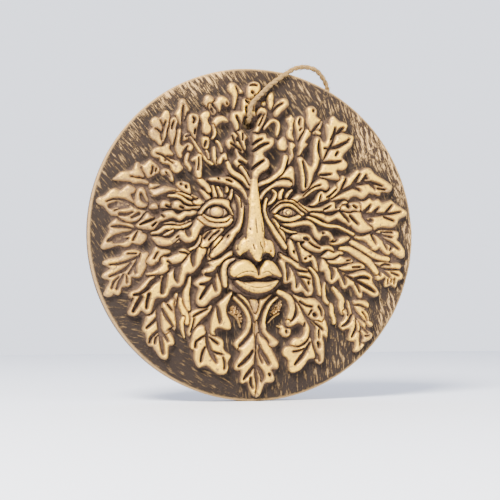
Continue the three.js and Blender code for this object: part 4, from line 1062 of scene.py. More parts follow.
        Cut((0.3, 0.5, 0.5, 0.3), (-16, 53.2, -13.6, 51.9, -11.4, 50.3, -9.4, 48.8)),
        Cut((0.8, 0.8), (-11.9, 56.2, -12.1, 55.6)),
        Cut((0.2, 0.4, 0.2), (-15.2, 58, -14.4, 55.6, -13.4, 53.4)),
    )),
    "crown left three": Blade(6.2, (
        -13.7, 49.4, -12.4, 49.8, -11.2, 47.2, -7.4, 43.8, -5.8, 43, -6.6, 40.4, -5.6, 34.4, -7.4, 33.8,
        -9.4, 35.4, -13.6, 39.4, -14.9, 41.4, -14.5, 43.2, -12.9, 44.7,
    ), (
        Cut((0.3, 0.6, 0.7, 0.5), (-11.4, 42.6, -9.4, 41.7, -7.6, 40.4, -6.2, 38.4)),
    )),
    "crown right": Blade(6.2, (
        -2.9, 57, -3, 58.6, -1.6, 59.8, 0.6, 59.2, 3, 59.9, 5.3, 59.9, 6, 58.2, 7, 57.2, 8.8, 57.7,
        10.6, 56.8, 9.9, 52.6, 5, 49, 3.9, 47.8, 4.4, 46, 6.5, 44.8, 7.5, 42.6, 7.3, 40, 5.6, 37.8, 3, 36.4,
        1, 34.4, 0.1, 31.5, 0.2, 27, 0.2, 22, -4, 22, -3.8, 27, -3.6, 38, -2.5, 44, -2.4, 46.4, -3.2, 48.4,
        -2.8, 51.4,
    ), (
        Cut((0.5, 0.6, 0.5, 0.2), (-3, 52.4, -1.4, 54, 0.6, 55.4, 2.8, 56.5)),
        Cut((0.6, 0.7, 0.7, 0.6, 0.2), (-3.8, 48.2, -1, 50, 1.4, 51.8, 4, 53.2, 6.8, 54)),
        Cut((0.7, 0.6, 0.5, 0.2), (-4, 37, -1.8, 39.6, 1, 41.7, 3.8, 43.6)),
    )),
    "check short": Blade(4.6, (
        6.8, 78, 7.5, 75.4, 8.7, 74.6, 10, 75.4, 10.7, 77.2, 10.4, 80, 10.7, 83.4, 10, 85.4, 8, 84.4,
        6.9, 82.6,
    )),
    "check long": Blade(4.8, (
        10.6, 76.4, 14.6, 81.2, 17.4, 82.1, 19.6, 81.1, 20.3, 79, 19.8, 77.2, 15.4, 73.5, 13.3, 71,
        11.5, 70.7, 10.6, 72, 11.4, 74.4, 10.4, 75.2,
    ), (
        Cut((0.5, 0.6, 0.5, 0.2), (10.2, 74, 12, 76.2, 14, 77.8, 16, 78.9)),
    )),
    "hook arch": Blade(4.4, (
        4, 62.8, 5.4, 65.4, 9.6, 69.2, 13.6, 68.2, 14.7, 66, 14.7, 63, 12.9, 58.6, 12, 59.4, 12.1, 61.6,
        12.6, 66, 10.4, 67.6, 6.6, 64.2, 5, 62.2,
    )),
    "top right left lobe": Blade(4.4, (
        18.4, 69.2, 20.1, 65.2, 18.8, 61.4, 18.8, 59, 20, 57.4, 21.6, 56.8, 23, 55.6, 23.4, 57.4, 22.6, 59,
        22.4, 61.4, 22.9, 64, 22.7, 66.6, 23.8, 69.2, 22.7, 70.4, 21.5, 72.2, 20.6, 70.8,
    )),
    "top right right lobe": Blade(4.4, (
        24.2, 68, 25.4, 70.6, 27.4, 71.6, 29.3, 70.9, 30.1, 69, 29.8, 66, 29.6, 63, 26.6, 58.8, 25.8, 57,
        24.8, 62.6, 23.9, 65,
    ), (
        Cut((0.4, 0.5, 0.3), (27.2, 70, 26.6, 68, 26.8, 66)),
        Cut((0.3, 0.3), (28, 64, 27, 63)),
    )),
    "top right hook": Blade(5, (
        20, 54.6, 21.8, 55.4, 23.4, 54.6, 24.2, 53.2, 22.9, 52, 22.4, 49.6, 23, 47.4, 22.4, 45.4,
        20.8, 43.2, 19.4, 40.8, 18.8, 41.6, 19.2, 44, 18.6, 44.9, 17.8, 44.2, 17.2, 41.8, 15.8, 39,
        13.2, 36, 10.6, 33.6, 8.8, 34.2, 12, 37.2, 14.4, 40, 15.6, 43.2, 15.8, 46.4, 16.9, 48, 18.6, 48.3,
        20, 47.4, 21, 47.8, 19.7, 52,
    )),
    "top right stem": Blade(4.8, (
        33, 64, 34, 62, 33.5, 59.8, 30.7, 56.4, 31, 55.2, 32.2, 54.6, 29.8, 52, 25.6, 46.2, 26.6, 51.6,
        26.3, 54, 29.8, 61.4, 31, 63.8,
    )),
    "top right knob": Blade(5, (
        30.9, 68, 31.2, 72.6, 30.6, 75, 31.6, 77, 33.6, 77.9, 35.8, 77.7, 37.5, 76, 37.9, 73.4, 37.7, 71.8,
        41.2, 69, 40.6, 67.6, 38.6, 67.4, 36.8, 66.2, 33.8, 62.8, 32.8, 64.4,
    ), (
        Cut((0.4, 0.4), (35.4, 75.4, 35.5, 74.8)),
    )),
    "top right thread": Tendril(3.4, (40.8, 68.4, 39.4, 65.4, 37.8, 63.4, 36, 61.6), (0.5, 0.6, 0.5, 0.4)),
    "top right pearl": Tendril(3.4, (38.2, 62.2, 38.8, 61.8, 39.4, 61.6), (0.9, 1, 0.9)),
    "top right grey": Blade(2.6, (
        13.6, 55, 14.8, 57, 17, 58.6, 18.6, 57.6, 19.3, 54, 19.2, 51.6, 17, 50.4, 14.6, 51, 13.5, 53,
    )),
    "upper right zigzag": Blade(5.4, (
        24.9, 44.4, 25.4, 45.9, 27.2, 46.7, 28.8, 45.9, 32, 42.1, 33.6, 41.2, 34.5, 42, 35, 44, 35, 48,
        35.6, 56, 36.4, 58.6, 38.6, 59.5, 40.1, 58.6, 41.2, 56.8, 42.4, 56.2, 43.4, 57.4, 43.7, 60,
        42.8, 66, 43.6, 67.8, 45.2, 67.7, 45.4, 70, 46.6, 72, 48.6, 72.5, 51.8, 69.4, 54.2, 69.1,
        56.4, 68.2, 57.3, 66.4, 55.2, 62.8, 50, 61.2, 48.7, 59.6, 43.6, 50.4, 42.2, 47, 41.4, 44.2,
        40.2, 46.8, 39.2, 45, 37.6, 40, 35.6, 37, 33, 29.6, 29.6, 26.4, 28, 26, 27.2, 29.4, 26.6, 38,
    ), (
        Cut((0.2, 0.5, 0.6, 0.5, 0.2), (39.1, 57, 38.8, 53.6, 38.9, 50.6, 39.6, 47.6, 40.6, 45.4)),
        Cut((0.3, 0.5, 0.7, 0.6, 0.5), (28.6, 43.8, 29.2, 40.6, 30, 37, 30.4, 33, 30, 28.4)),
        Cut((0.2, 0.6, 0.6, 0.3), (49, 65, 48.8, 62.4, 47.8, 60, 46.4, 57.8)),
        Cut((0.4, 0.9, 0.4), (50.2, 61.4, 52.2, 63.6, 54.4, 65.2)),
        Cut((0.2, 0.2), (44.4, 52.2, 42.2, 52.4)),
    )),
    "brow right tip": Blade(6, (
        20.4, 40.6, 22.2, 40, 23, 37, 22.8, 30, 21.4, 28, 18, 27.6, 14, 28.4, 11, 30, 9.6, 31.8, 12.4, 33.6,
        18, 38.6,
    ), (
        Cut((0.2, 0.4, 0.4, 0.2), (12.4, 31, 15.4, 32.4, 18.4, 32.6, 20.6, 31.6)),
    )),
    "left strip thread": Tendril(3.4, (
        -44.2, -50.4, -45, -53, -44.8, -56, -44.3, -59, -43.5, -61.8,
    ), (0.7, 0.9, 0.8, 0.6, 0.3)),
    "left low leaf": Blade(4, (
        -60.2, -46, -62, -47.8, -64.6, -49, -66, -49.4, -66.4, -51.6, -68.1, -56.6, -67.2, -58.6,
        -66.2, -59.6, -65.2, -65, -64, -66.7, -62, -66.9, -61.2, -68.4, -58, -72.9, -56, -74.3,
        -54.2, -74.5, -52.9, -73, -52.6, -66.9, -50.6, -66.3, -49.2, -65.2, -49.7, -62.6, -51, -60.4,
        -52.2, -58, -54.2, -57.6, -57, -57.6, -58.6, -54, -59.2, -50,
    ), (
        Cut((0.9, 1.1, 1.1, 1, 0.7), (-59.4, -47, -58.6, -52, -57.8, -58, -57, -64.6, -55.9, -71)),
        Cut((0.3, 0.6, 0.8), (-65.8, -56.2, -63, -53.8, -60, -50.8)),
        Cut((0.4, 0.8, 0.9, 0.6), (-64, -65, -63.2, -62.2, -61, -59.8, -58.6, -57.6)),
        Cut((0.3, 0.6, 0.4), (-61, -65.4, -60.4, -62.6, -59.2, -60.8)),
        Cut((0.4, 0.7, 0.4), (-56.8, -59, -54.8, -61.4, -53.2, -64)),
    )),
    "left low upper": Blade(4.4, (
        -56.9, -46.6, -57.4, -49, -57, -56, -56.2, -58.2, -54.6, -59.4, -53, -58.4, -50.2, -56.6,
        -49.2, -57.6, -48.6, -55, -48.9, -51, -50, -43, -49.4, -39.6, -51.6, -39.8, -54, -42, -56, -41.2,
        -57, -43.6,
    ), (
        Cut((0.3, 0.7, 0.6, 0.3), (-56.8, -45, -54.8, -48.8, -52.4, -52.4, -50, -55.6)),
        Cut((0.2, 0.3, 0.2), (-53.6, -42.6, -52.2, -44.4, -50.4, -46.4)),
        Cut((0.2, 0.4, 0.3), (-54.4, -59, -52.6, -57.2, -50.6, -56)),
    )),
    "chin band left outer": Blade(4.8, (
        -3.9, -51, -3.5, -54.4, -4, -57.4, -5.6, -60.4, -10, -65.2, -11.2, -67, -9.6, -68, -10.4, -69.3,
        -12.6, -68.6, -13.8, -65.2, -9.4, -60.8, -7.4, -57.8, -6.3, -54.6, -6.2, -51,
    )),
    "beard middle left": Blade(4.6, (
        -1.6, -60.4, -3.4, -61.4, -7, -65.6, -10.8, -68.8, -9.8, -70.2, -9.8, -71.8, -10.9, -74.2,
        -12.7, -76.6, -13.6, -79, -13.3, -80.9, -11.6, -81.5, -9.8, -81.4, -9.5, -83.4, -9.9, -88.2,
        -8.4, -89.1, -6.6, -88.5, -5, -88.9, -3.8, -93.6, -2.4, -96, -0.3, -97, -0.2, -92, -1.2, -86,
        -1.6, -80, -1.2, -68,
    ), (
        Cut((0.4, 0.9, 0.9, 0.7), (-11, -79, -8.4, -77, -5.2, -74, -2.2, -70.2)),
        Cut((0.3, 0.8, 0.9, 0.7), (-7.9, -86.8, -6.2, -84.4, -4, -81.8, -1.8, -79)),
        Cut((0.4, 0.7, 0.4), (-3.6, -86, -3.4, -89.4, -2.4, -92)),
    )),
    "beard middle right": Blade(4.6, (
        1.2, -60.4, 2.4, -61.4, 4.6, -62.6, 8.4, -66.4, 10.6, -67.8, 9.3, -68.8, 10.3, -70.8, 13, -76.2,
        13.7, -78.4, 13.3, -80.5, 11.6, -81.1, 9.2, -81.1, 11, -86, 10.7, -88, 8.6, -88.9, 6, -88.9,
        4.7, -89.5, 2.7, -95, 0.9, -97, -0.3, -97, 0.4, -91, 1.4, -87, 0.8, -82, 1, -77, 0.4, -71,
    ), (
        Cut((0.4, 0.8, 1, 0.8), (0.9, -65, 2.9, -70.4, 5.2, -74, 7.4, -77.7)),
        Cut((0.6, 1.3, 1.2, 0.5), (0.9, -79.6, 2.4, -82.4, 3.6, -85.4, 3, -88)),
        Cut((0.5, 0.5), (7.8, -83.8, 8.2, -84.6)),
        Cut((0.4, 0.6, 0.3), (1.2, -69.6, 2, -73.4, 3.4, -77)),
    )),
    "chin band right outer": Blade(4.8, (
        3.9, -50.6, 2.6, -53.4, 2.7, -56, 4, -59.5, 6.3, -62.4, 8.2, -65.2, 7.6, -66.4, 9.2, -67.6,
        10.8, -67.7, 12.6, -66.7, 13.6, -64.9, 12.2, -63.3, 7.1, -59.3, 5.5, -56, 5, -53, 5.2, -50,
    )),
    "beard right ring": Blade(4.8, (
        24.2, -41.6, 25.1, -45, 25.4, -48, 24.4, -50, 20.9, -53.2, 20, -52.4, 19, -52, 18, -52.8, 18.4, -55,
        20.4, -55.8, 23, -55, 25, -53.9, 27, -53.9, 28.6, -55, 29.3, -57, 29, -59.6, 28, -61.4, 26.4, -62.4,
        24, -62.3, 22, -63.2, 20.4, -67, 22, -68.2, 23.8, -68.2, 26.2, -67.2, 31.2, -63.4, 32.9, -57.8,
        32.2, -54.8, 29, -49.2, 25.6, -42.8,
    ), (
        Cut((0.2, 0.3), (29.8, -53.4, 29.4, -55.6)),
    )),
    "beard right lobe": Blade(4.4, (
        33.2, -62.4, 31.4, -65.2, 28.6, -67.2, 25.2, -68.2, 19.6, -67.4, 17.2, -68.2, 15.9, -70.4,
        16.4, -72.8, 18.4, -74.4, 19.6, -76.4, 20, -82, 22.4, -83.2, 25.4, -82.4, 28.4, -80.2, 32, -75.4,
        36.2, -74.4, 35.6, -71, 34.4, -67.6,
    ), (
        Cut((0.4, 0.8, 0.9, 0.4), (33, -65.4, 30, -70.4, 27, -74.4, 23.8, -78.2)),
        Cut((0.15, 0.35, 0.2), (29.6, -68.8, 26, -70.2, 22.6, -70.6)),
    ), softness=1.7),
    "beard right column": Blade(4.8, (
        34, -52.4, 36.2, -54.6, 37, -56.6, 36.2, -59, 36.4, -62.6, 35.5, -65.4, 37.3, -70.8, 38.6, -72.6,
        38.8, -74.4, 37.6, -75.4, 36.4, -75.8, 37.4, -77.4, 39, -78.2, 40.6, -77.6, 41.8, -75.4, 42.1, -68,
        41.1, -61.2, 42.4, -62, 43.9, -62.2, 44.3, -56.6, 42.4, -51.8, 40.6, -53.6, 38, -52.8, 36, -52.8,
    ), (
        Cut((0.2, 0.5, 0.6, 0.3), (35, -52.6, 37.4, -54.4, 39.4, -56, 41, -57.8)),
        Cut((0.5, 0.6, 0.4), (37.8, -65.4, 38.5, -66.6, 38.4, -68)),
        Cut((0.3, 0.3), (38.6, -73.6, 38.8, -76.6)),
        Cut((0.2, 0.3, 0.2), (38.6, -57.6, 38.4, -60, 38.6, -62.4)),
    )),
    "right low leaf": Blade(4.2, (
        54, -46.6, 55.2, -49, 54.3, -52, 52.4, -53.4, 51.7, -55.2, 52.5, -57, 54, -58, 55.6, -57.4,
        57.6, -57.2, 58.2, -58.4, 57.3, -62.6, 57.8, -64.2, 59.6, -64.8, 61.4, -64.8, 61.8, -66.2,
        61.4, -68.4, 60.4, -70.4, 62, -71.2, 64.2, -70.4, 66.2, -68.8, 67.5, -66.6, 66, -66, 65, -67.8,
        64.2, -66, 64.5, -58.6, 63.8, -56.9, 61.6, -59.8, 61.9, -56, 61.9, -52, 61.2, -48.7, 60, -49,
        58.5, -43, 57.4, -40.2, 56.6, -40.6, 57, -43.4, 56, -45.2,
    ), (
        Cut((0.3, 0.7, 0.9, 0.5), (53.4, -55.6, 55.6, -54.4, 57.8, -52, 59.4, -48.8)),
        Cut((0.3, 0.5, 0.6, 0.4), (59.4, -62, 60.2, -60.6, 61.6, -58, 62.6, -54.4)),
        Cut((0.3, 0.5, 0.4), (56.6, -44.6, 57.4, -47.6, 57, -49)),
    )),
    "right low upper": Blade(3.6, (
        60.6, -40.2, 64, -39.6, 67.6, -39.6, 70, -40.9, 70.9, -42.6, 70.2, -44.5, 68.4, -44.8, 66.4, -44.6,
        68.2, -46, 69.8, -47.8, 70.6, -50, 71, -52.6, 72.4, -53, 73.6, -54.4, 72.7, -55.6, 70.5, -55.8,
        69, -53.2, 67, -50.6, 63, -46.6, 61.6, -43.4,
    ), (
        Cut((0.3, 0.4, 0.4, 0.3), (61.8, -42.8, 64.6, -42.8, 67.4, -43.8, 69.4, -44.8)),
        Cut((0.3, 0.4, 0.2), (66.4, -47, 68.4, -49.4, 69.8, -52.4)),
    )),
    "right low outer": Blade(3.2, (
        62.8, -50.6, 67.6, -53.2, 68.8, -54.6, 68.3, -56.4, 69.5, -58.3, 72.8, -60, 73, -61.6, 71.7, -63.5,
        67.3, -65.3, 66.2, -64.6, 67.4, -62.8, 65.8, -58.8, 66.8, -57.4, 64.4, -52.6,
    ), (
        Cut((0.3, 0.5, 0.4), (66.2, -55.8, 68, -58, 70.4, -60)),
        Cut((0.3, 0.4, 0.3), (68.4, -61.6, 70.2, -61.4, 71.4, -61.2)),
    )),
    "right low spike": Tendril(3, (63, -52.6, 63.8, -55.4, 63.9, -57.8), (0.4, 0.8, 0.6)),
    "upper right lobes": Blade(5, (
        41.9, 44.6, 46.6, 52.9, 49, 58.4, 49.8, 60.6, 52, 61.5, 54, 62.3, 58.4, 61.2, 60.6, 60.9,
        61.3, 59.6, 60.3, 55, 58.8, 53, 55.4, 49.8, 53.9, 47, 56.6, 44.6, 57.2, 42.8, 56.6, 40.9, 55, 39.6,
        52.6, 39, 51, 39.3, 50.2, 38.4, 52, 35, 51.4, 33.3, 49.6, 33.1, 44.6, 33.6, 42, 34.4, 39.6, 34.8,
        38.4, 36.8, 39.6, 39.2,
    ), (
        Cut((0.7, 0.9, 0.8, 0.4), (45.8, 52.4, 50, 53.4, 53.4, 55, 57, 57)),
        Cut((0.3, 0.3), (57.5, 57.9, 58.1, 58.3)),
        Cut((0.5, 0.8, 0.6, 0.3), (41.4, 43.6, 46, 43.8, 49.4, 44, 52.8, 44.9)),
        Cut((0.5, 0.6, 0.2), (39.6, 36, 43, 36.2, 46.6, 36.8)),
        Cut((0.4, 0.5), (49.6, 48.4, 50.6, 50)),
    )),
    "top knob": Blade(6, (
        -6.5, 87, -5.1, 89.5, -3, 91, -0.6, 91.3, 1.5, 90.1, 2.4, 88, 2.2, 85.8, -0.5, 82, -1.6, 80.7,
        -3.4, 80.9, -5.4, 80.9, -6.5, 82.4,
    ), (
        Cut((0.3, 0.3), (-3, 84.6, -2.4, 84.2)),
        Cut((0.3, 0.3), (-1.1, 82.6, -0.8, 81.8)),
        Cut((0.1, 0.2, 0.1), (-4.4, 88.8, -2, 89.2, 0, 88.8)),
    )),
    "small grey knob": Blade(3.4, (2.8, 77.6, 3.5, 79.4, 5.4, 79.9, 6.1, 78, 5.1, 76.7, 3.8, 76.4)),
    "left high outer": Blade(3.6, (
        -85.4, 30, -84, 32, -82.3, 33.8, -80.3, 34.9, -75.3, 35.6, -74, 36.5, -72.6, 39.9, -71.3, 40.6,
        -70.4, 39.4, -68.6, 34.6, -67.4, 32.8, -68, 31.4, -64.8, 28.8, -66, 28.2, -69.5, 28.8, -74, 28.4,
        -76, 29.4,
    ), (
        Cut((0.2, 0.4, 0.5), (-75.6, 32.3, -72, 31.9, -67.6, 31.3)),
    )),
    "left high strip": Blade(3.2, (-64.3, 28, -62, 28, -58.2, 27.8, -62, 26, -64.2, 25.2)),
    "left high lowest": Blade(3.8, (
        -64, 24.5, -61, 24.8, -56.5, 26.8, -54, 26.8, -49, 25.3, -52, 24.7, -60, 21.6, -62.7, 22,
    )),
    "brow left arm": Blade(6.2, (
        -30, 31.6, -27, 32.7, -19.3, 33.1, -16.5, 32.7, -11.6, 29.7, -7.8, 25, -6.6, 22.4, -5.6, 18.6,
        -6.6, 17.6, -8.6, 22, -10.4, 24.4, -12.7, 26, -18, 28.3, -24.3, 29.8, -28.5, 30.3,
    ), (
        Cut((0.15, 0.25, 0.15), (-19.3, 31.3, -17.6, 31, -15.8, 30)),
        Cut((0.3, 0.3), (-24, 32, -23.6, 31.8)),
    )),
    "branch left upper": Tendril(5.8, (
        -5.6, 27.6, -7.6, 30.4, -10, 32.6, -12.8, 34.4, -15.4, 35.8, -17.2, 38.2, -18.3, 41.4,
    ), (1.1, 1.2, 1.3, 1.3, 1.3, 1.2, 0.9)),
    "branch left inner": Tendril(5.8, (
        -4.6, 29.6, -6.4, 33, -8.4, 36.2, -10.4, 38.8,
    ), (0.9, 0.8, 0.8, 0.9)),
    "branch right rise": Tendril(5.6, (
        0.2, 28.6, 3.5, 30, 6.5, 31.2, 10, 33.4, 13, 35.8, 15.2, 38.6, 16.4, 42.4, 17.4, 46,
    ), (1.1, 1, 1, 1.1, 1.2, 1.2, 1.2, 1.5)),
    "brow right arm": Blade(6.2, (
        -0.5, 22, 1.3, 22.6, 4.7, 26.3, 13, 31.7, 19, 32.2, 21, 30, 20, 28, 17.3, 28, 11.3, 27.8, 6, 25,
        4, 22.6, 1.2, 18.6,
    )),
    "eye hook right": Tendril(4.6, (
        9.2, 25.8, 11, 24.2, 11, 22.2, 10, 20.2, 8, 18.2, 5.8, 17,
    ), (0.5, 0.7, 0.7, 0.7, 0.6, 0.5)),
    "tuft right one": Tendril(4.6, (15.8, 26.4, 14.4, 24.4, 13.9, 22, 14.2, 20), (0.5, 0.9, 1.1, 0.9)),
    "tuft right two": Tendril(4.6, (21.4, 26.2, 19.6, 24.6, 18.1, 22.4, 17.6, 20), (0.4, 0.7, 0.7, 0.6)),
    "cheek rib right": Tendril(5.2, (
        5.4, 20.6, 4.4, 17, 4.1, 12.8, 5.2, 8.8, 7.6, 5, 10.4, 0.6, 13.6, -3.8, 16.8, -8.4,
    ), (0.5, 0.7, 0.8, 0.9, 1, 1.3, 1.5, 1.2)),
    "cheek rib left": Blade(5.4, (
        -13.4, 22.8, -11.6, 21.4, -9.8, 19.8, -8.7, 17.4, -8.3, 14, -9, 7, -10.6, 1.4, -12.6, -0.6, -16, -6,
        -21, -11.4, -26.8, -14.8, -28.6, -14, -27.6, -11.6, -22.2, -5.4, -16.6, 1, -13.6, 3.4, -11.9, 6.2,
        -11.1, 9.6, -11.3, 16.4,
    ), (
        Cut((0.15, 0.3, 0.2), (-10.2, 19.6, -9.8, 17.4, -9.9, 15)),
        Cut((0.2, 0.4, 0.4, 0.2), (-17.6, -1.6, -19.6, -4.6, -22, -7.4, -25, -10.2)),
    )),
    "upper left hook": Blade(4.8, (
        -46.4, 43.6, -49.3, 48.8, -49, 51.8, -48.2, 57.4, -47.8, 60.2, -46.6, 61.2, -45.9, 60, -46.6, 53.6,
        -46, 51.4, -44.4, 51, -42.8, 52.3, -41, 52.8, -39.3, 51.8, -38.7, 50, -39.8, 48.4, -41.4, 48.2,
        -42.6, 49.4, -43.8, 48,
    ), (
        Cut((0.2, 0.4, 0.5), (-42, 50.8, -43.2, 49.2, -44.6, 46.4)),
    ), softness=1.4),
    "upper left knob right": Blade(5, (
        -31.4, 58.6, -33, 59.6, -33.4, 62, -33.2, 64.8, -34.6, 69.6, -30.6, 72.4, -28.8, 71, -28.8, 69.4,
        -30, 67.4, -29.4, 65, -28, 62.8, -28, 60.6, -29.4, 58.8,
    ), softness=1.6),
    "beard left leaf": Blade(4.6, (
        -29.6, -58.6, -27.4, -61.2, -24, -61.6, -21.6, -62.6, -20.2, -64, -19.9, -66.2, -20.2, -68.6,
        -18.6, -70.6, -16.5, -71.8, -15.7, -73.3, -17.6, -76.6, -17.2, -79, -17.6, -81.6, -19.2, -83.4,
        -21.8, -83.8, -24.6, -82.8, -29.4, -78.8, -31.6, -78.5, -35.2, -79.6, -37.8, -74.6, -37.7, -69.7,
        -39.4, -68.7, -40.2, -66.7, -39.5, -64, -39.2, -61.4, -38, -58.6, -35.8, -55.8, -33, -54.6,
        -31.4, -55.6, -31.2, -58,
    ), (
        Cut((0.6, 0.8, 1, 1, 0.4), (-30, -59, -29.9, -64, -28.4, -69, -26.2, -73.4, -24.4, -76.6)),
        Cut((0.2, 0.45, 0.3), (-28.6, -61.8, -26, -63.8, -23.4, -65.8)),
        Cut((0.2, 0.35, 0.2), (-27.6, -69.6, -24.6, -71, -21, -71.8)),
        Cut((0.3, 0.45, 0.35, 0.4), (-31, -60.6, -34, -62.4, -36.6, -64.6, -37, -67.6)),
        Cut((0.3, 0.5, 0.3), (-31.2, -67.6, -32.8, -71, -33.8, -76)),
        Cut((0.15, 0.35, 0.3), (-20.4, -73.8, -19.4, -77, -19.6, -80.4)),
    ), softness=1.8),
    "chin curl right": Tendril(4.8, (
        12, -38.4, 8.8, -41.2, 6.2, -45, 4.6, -49.4, 4, -53, 4.6, -55.8,
    ), (0.5, 0.7, 0.8, 0.9), moat=0),
    "chin curl left": Tendril(4.8, (
        -14, -38.6, -10.4, -42, -7.4, -45.6, -5.5, -49.4, -4.7, -53, -5.2, -55.8,
    ), (0.6, 0.8, 0.9, 1), moat=0),
    "curl line left": Tendril(3.2, (
        -17.6, -47, -13.6, -49, -11, -52.4, -9.8, -56,
    ), (0.1, 0.2, 0.1), moat=0),
    "curl line right": Tendril(3.2, (7, -53.4, 10.4, -50.2, 14, -47.8), (0.1, 0.15), moat=0),
    "eye plate left": Boss(3, (-25.5, 12.5), (12.5, 8.6)),
    "eye plate right": Boss(3, (19, 13), (12, 7.6)),
    "eyeball left": Boss(4.4, (-24.7, 11.9), (8.6, 5)),
    "iris left": Boss(5, (-24.8, 12), (4.6, 4.4)),
    "eyeball right": Boss(4.4, (18.4, 12.6), (7.4, 4.4)),
    "iris right": Boss(4.9, (18.6, 12.5), (3.8, 3.7)),
    "lid left lower": Tendril(5.6, (
        -34, 10.4, -30.5, 8, -25, 6.8, -19.5, 7.4, -15.6, 10,
    ), (0.9, 1.1, 1.2, 1.1, 0.8), moat=0.5),
    "bag left": Tendril(4.8, (
        -35, 8.5, -30.5, 5.2, -25, 4.2, -19, 4.8, -16, 7.4,
    ), (1.2, 1.1, 1.1, 1.1, 0.8), moat=0.5),
    "lid right lower": Tendril(5.6, (
        10, 11.4, 14, 9, 18.8, 8.2, 23.4, 9.2, 28, 11.8,
    ), (0.8, 1, 1.1, 1, 0.9), moat=0.5),
    "granules left": Granules(3.2, (
        -16.5, -43, -13, -43.5, -10, -47, -8.6, -51.5, -9.6, -54, -12, -50, -15.6, -47.4,
    ), 120, 3),
    "granules right": Granules(3.2, (
        15, -40.5, 11.5, -41.5, 8.5, -45, 7.4, -49.5, 9.4, -49, 13.6, -46.4, 15.2, -43.4,
    ), 120, 4),
    "nose wing left": Blade(8.8, (
        -8.2, -1.6, -9.6, -3, -13.2, -6.2, -14, -9, -13.6, -11.8, -12.4, -13.4, -10.8, -14.2, -9.8, -12.8,
        -8, -12, -6.1, -12.4, -4.7, -13.6, -4, -10, -4.5, -5, -6, -1,
    ), (
        Cut((0.2, 0.3, 0.2), (-11.7, -5.4, -12.5, -7.8, -12.6, -10.4)),
    ), softness=4),
    "nose wing right": Blade(8.6, (
        3.4, -2.4, 5, -3.8, 7.2, -4.3, 9, -5.8, 10.2, -10.8, 9.9, -13.2, 8.8, -14.7, 7.6, -13.4, 5.8, -12.3,
        4.3, -12.4, 3.2, -13.5, 2.2, -12, 2.2, -4.5,
    ), (
        Cut((0.2, 0.3, 0.3), (5.8, -5.4, 6.9, -7.9, 7.4, -10.8)),
    ), softness=4),
    "upper lip": Blade(8.6, (
        -17.7, -23.5, -16.9, -20.5, -14.5, -18, -11.5, -16.3, -8.6, -15.9, -5.5, -16.6, -2.8, -18.8,
        -0.3, -21.6, 1.6, -18.8, 3.6, -16.6, 6, -15.9, 8.6, -16.9, 11, -19, 14.4, -25, 13.4, -26.6,
        10, -26.4, 8, -25.8, 6, -25.9, 1, -27.5, -1.4, -27.3, -4.2, -26.2, -8, -25.8, -11, -26.6,
        -14.2, -26.9, -16.6, -26,
    ), (
        Cut((0.7, 0.3, 0.1), (-0.3, -21, -0.2, -22.6, -0.1, -25)),
    ), softness=3.6),
    "lower lip": Blade(8, (
        -13.5, -28, -10, -28.9, -7, -29.4, 0, -28.9, 5, -29.1, 9, -28.6, 12.3, -27.8, 12.1, -29.8,
        7.6, -34.2, 0, -36.2, -7.6, -34.5, -13.2, -30.2,
    ), softness=3.2),
    "left lid": Blade(5.8, (
        -36, 11, -31.2, 17, -28.5, 19, -24, 19.9, -17.7, 18.9, -16.8, 15.2, -15, 11.2, -15.6, 10.4,
        -17.3, 12.9, -19.7, 15, -22.2, 16.2, -25, 16.6, -28.2, 16.1, -31.3, 14, -33.6, 11.2,
    )),
    "right crease": Blade(5.6, (
        8.4, 14.2, 10.4, 16.6, 12.6, 18.6, 15.4, 19.8, 18.6, 20.2, 21.8, 19.6, 24.6, 17.8, 27, 15.6,
        31, 12.8, 29, 12.8, 26.6, 14.2, 24, 16.6, 21.4, 18.2, 18.6, 18.8, 15.4, 18.4, 12.6, 17, 8.8, 13.4,
    )),
    "right lid": Blade(5.9, (
        8.8, 12.6, 12.6, 16.4, 15.4, 17.8, 21.4, 17.6, 26.4, 13.6, 28.6, 12.2, 27.4, 11, 23, 14.6,
        19.9, 16.1, 16.4, 15.9, 13.4, 14.2, 11, 12,
    )),
    "nose": Tendril(7, (
        -2.4, 31, -2.6, 20, -2.3, 13, -2, 7, -2.1, 1, -2.3, -4, -1.5, -10, -0.9, -15,
    ), (1.6, 3.2, 3.5, 4.4, 5.4, 5.3, 4.8, 2.1), growth=4.2, moat=0.1),
    "nose wing left dome": Boss(8.4, (-10, -8.6), (3.9, 5.2), turn=12),
    "nose wing right dome": Boss(8.4, (5.9, -8.2), (3.7, 5), turn=-12),
    "nose tip": Boss(11.6, (-2.2, -10.5), (5.6, 6.6)),
    "iris left ring": Groove(1.5, (
        -24.8, 16, -27.7, 14.8, -28.9, 12, -27.7, 9.2, -24.8, 8, -21.9, 9.2, -20.7, 12, -21.9, 14.8,
        -24.8, 16,
    ), (0.55, 0.55)),
    "iris right ring": Groove(1.4, (
        18.6, 15.6, 16.2, 14.6, 15.4, 12.5, 16.2, 10.4, 18.6, 9.5, 21, 10.4, 21.8, 12.5, 21, 14.6,
        18.6, 15.6,
    ), (0.5, 0.5)),
    "pupil right ring": Groove(0.6, (18.6, 14, 17.2, 12.5, 18.6, 11, 20.1, 12.5, 18.6, 14), (0.35, 0.35)),
    "upper lip crease left": Groove(1.1, (
        -14, -26, -11, -24.2, -8, -23.2, -5, -22.9, -1.6, -24,
    ), (0.3, 0.5, 0.5, 0.35)),
    "upper lip crease right": Groove(1.1, (
        1.9, -24, 5, -22.9, 7, -23.8, 9, -24.9, 12, -25.9,
    ), (0.35, 0.5, 0.5, 0.3)),
    "lower lip line": Groove(0.9, (
        -9.5, -29.8, -7, -31, -3.4, -32.2, 1, -32.6, 5, -31.6, 10, -29.8,
    ), (0.3, 0.4, 0.4, 0.3)),
    "nose tip left line": Groove(1.4, (-4, -7.2, -3.8, -8.8, -3.4, -10.4), (0.6, 0.6)),
    "nose tip right line": Groove(1.6, (
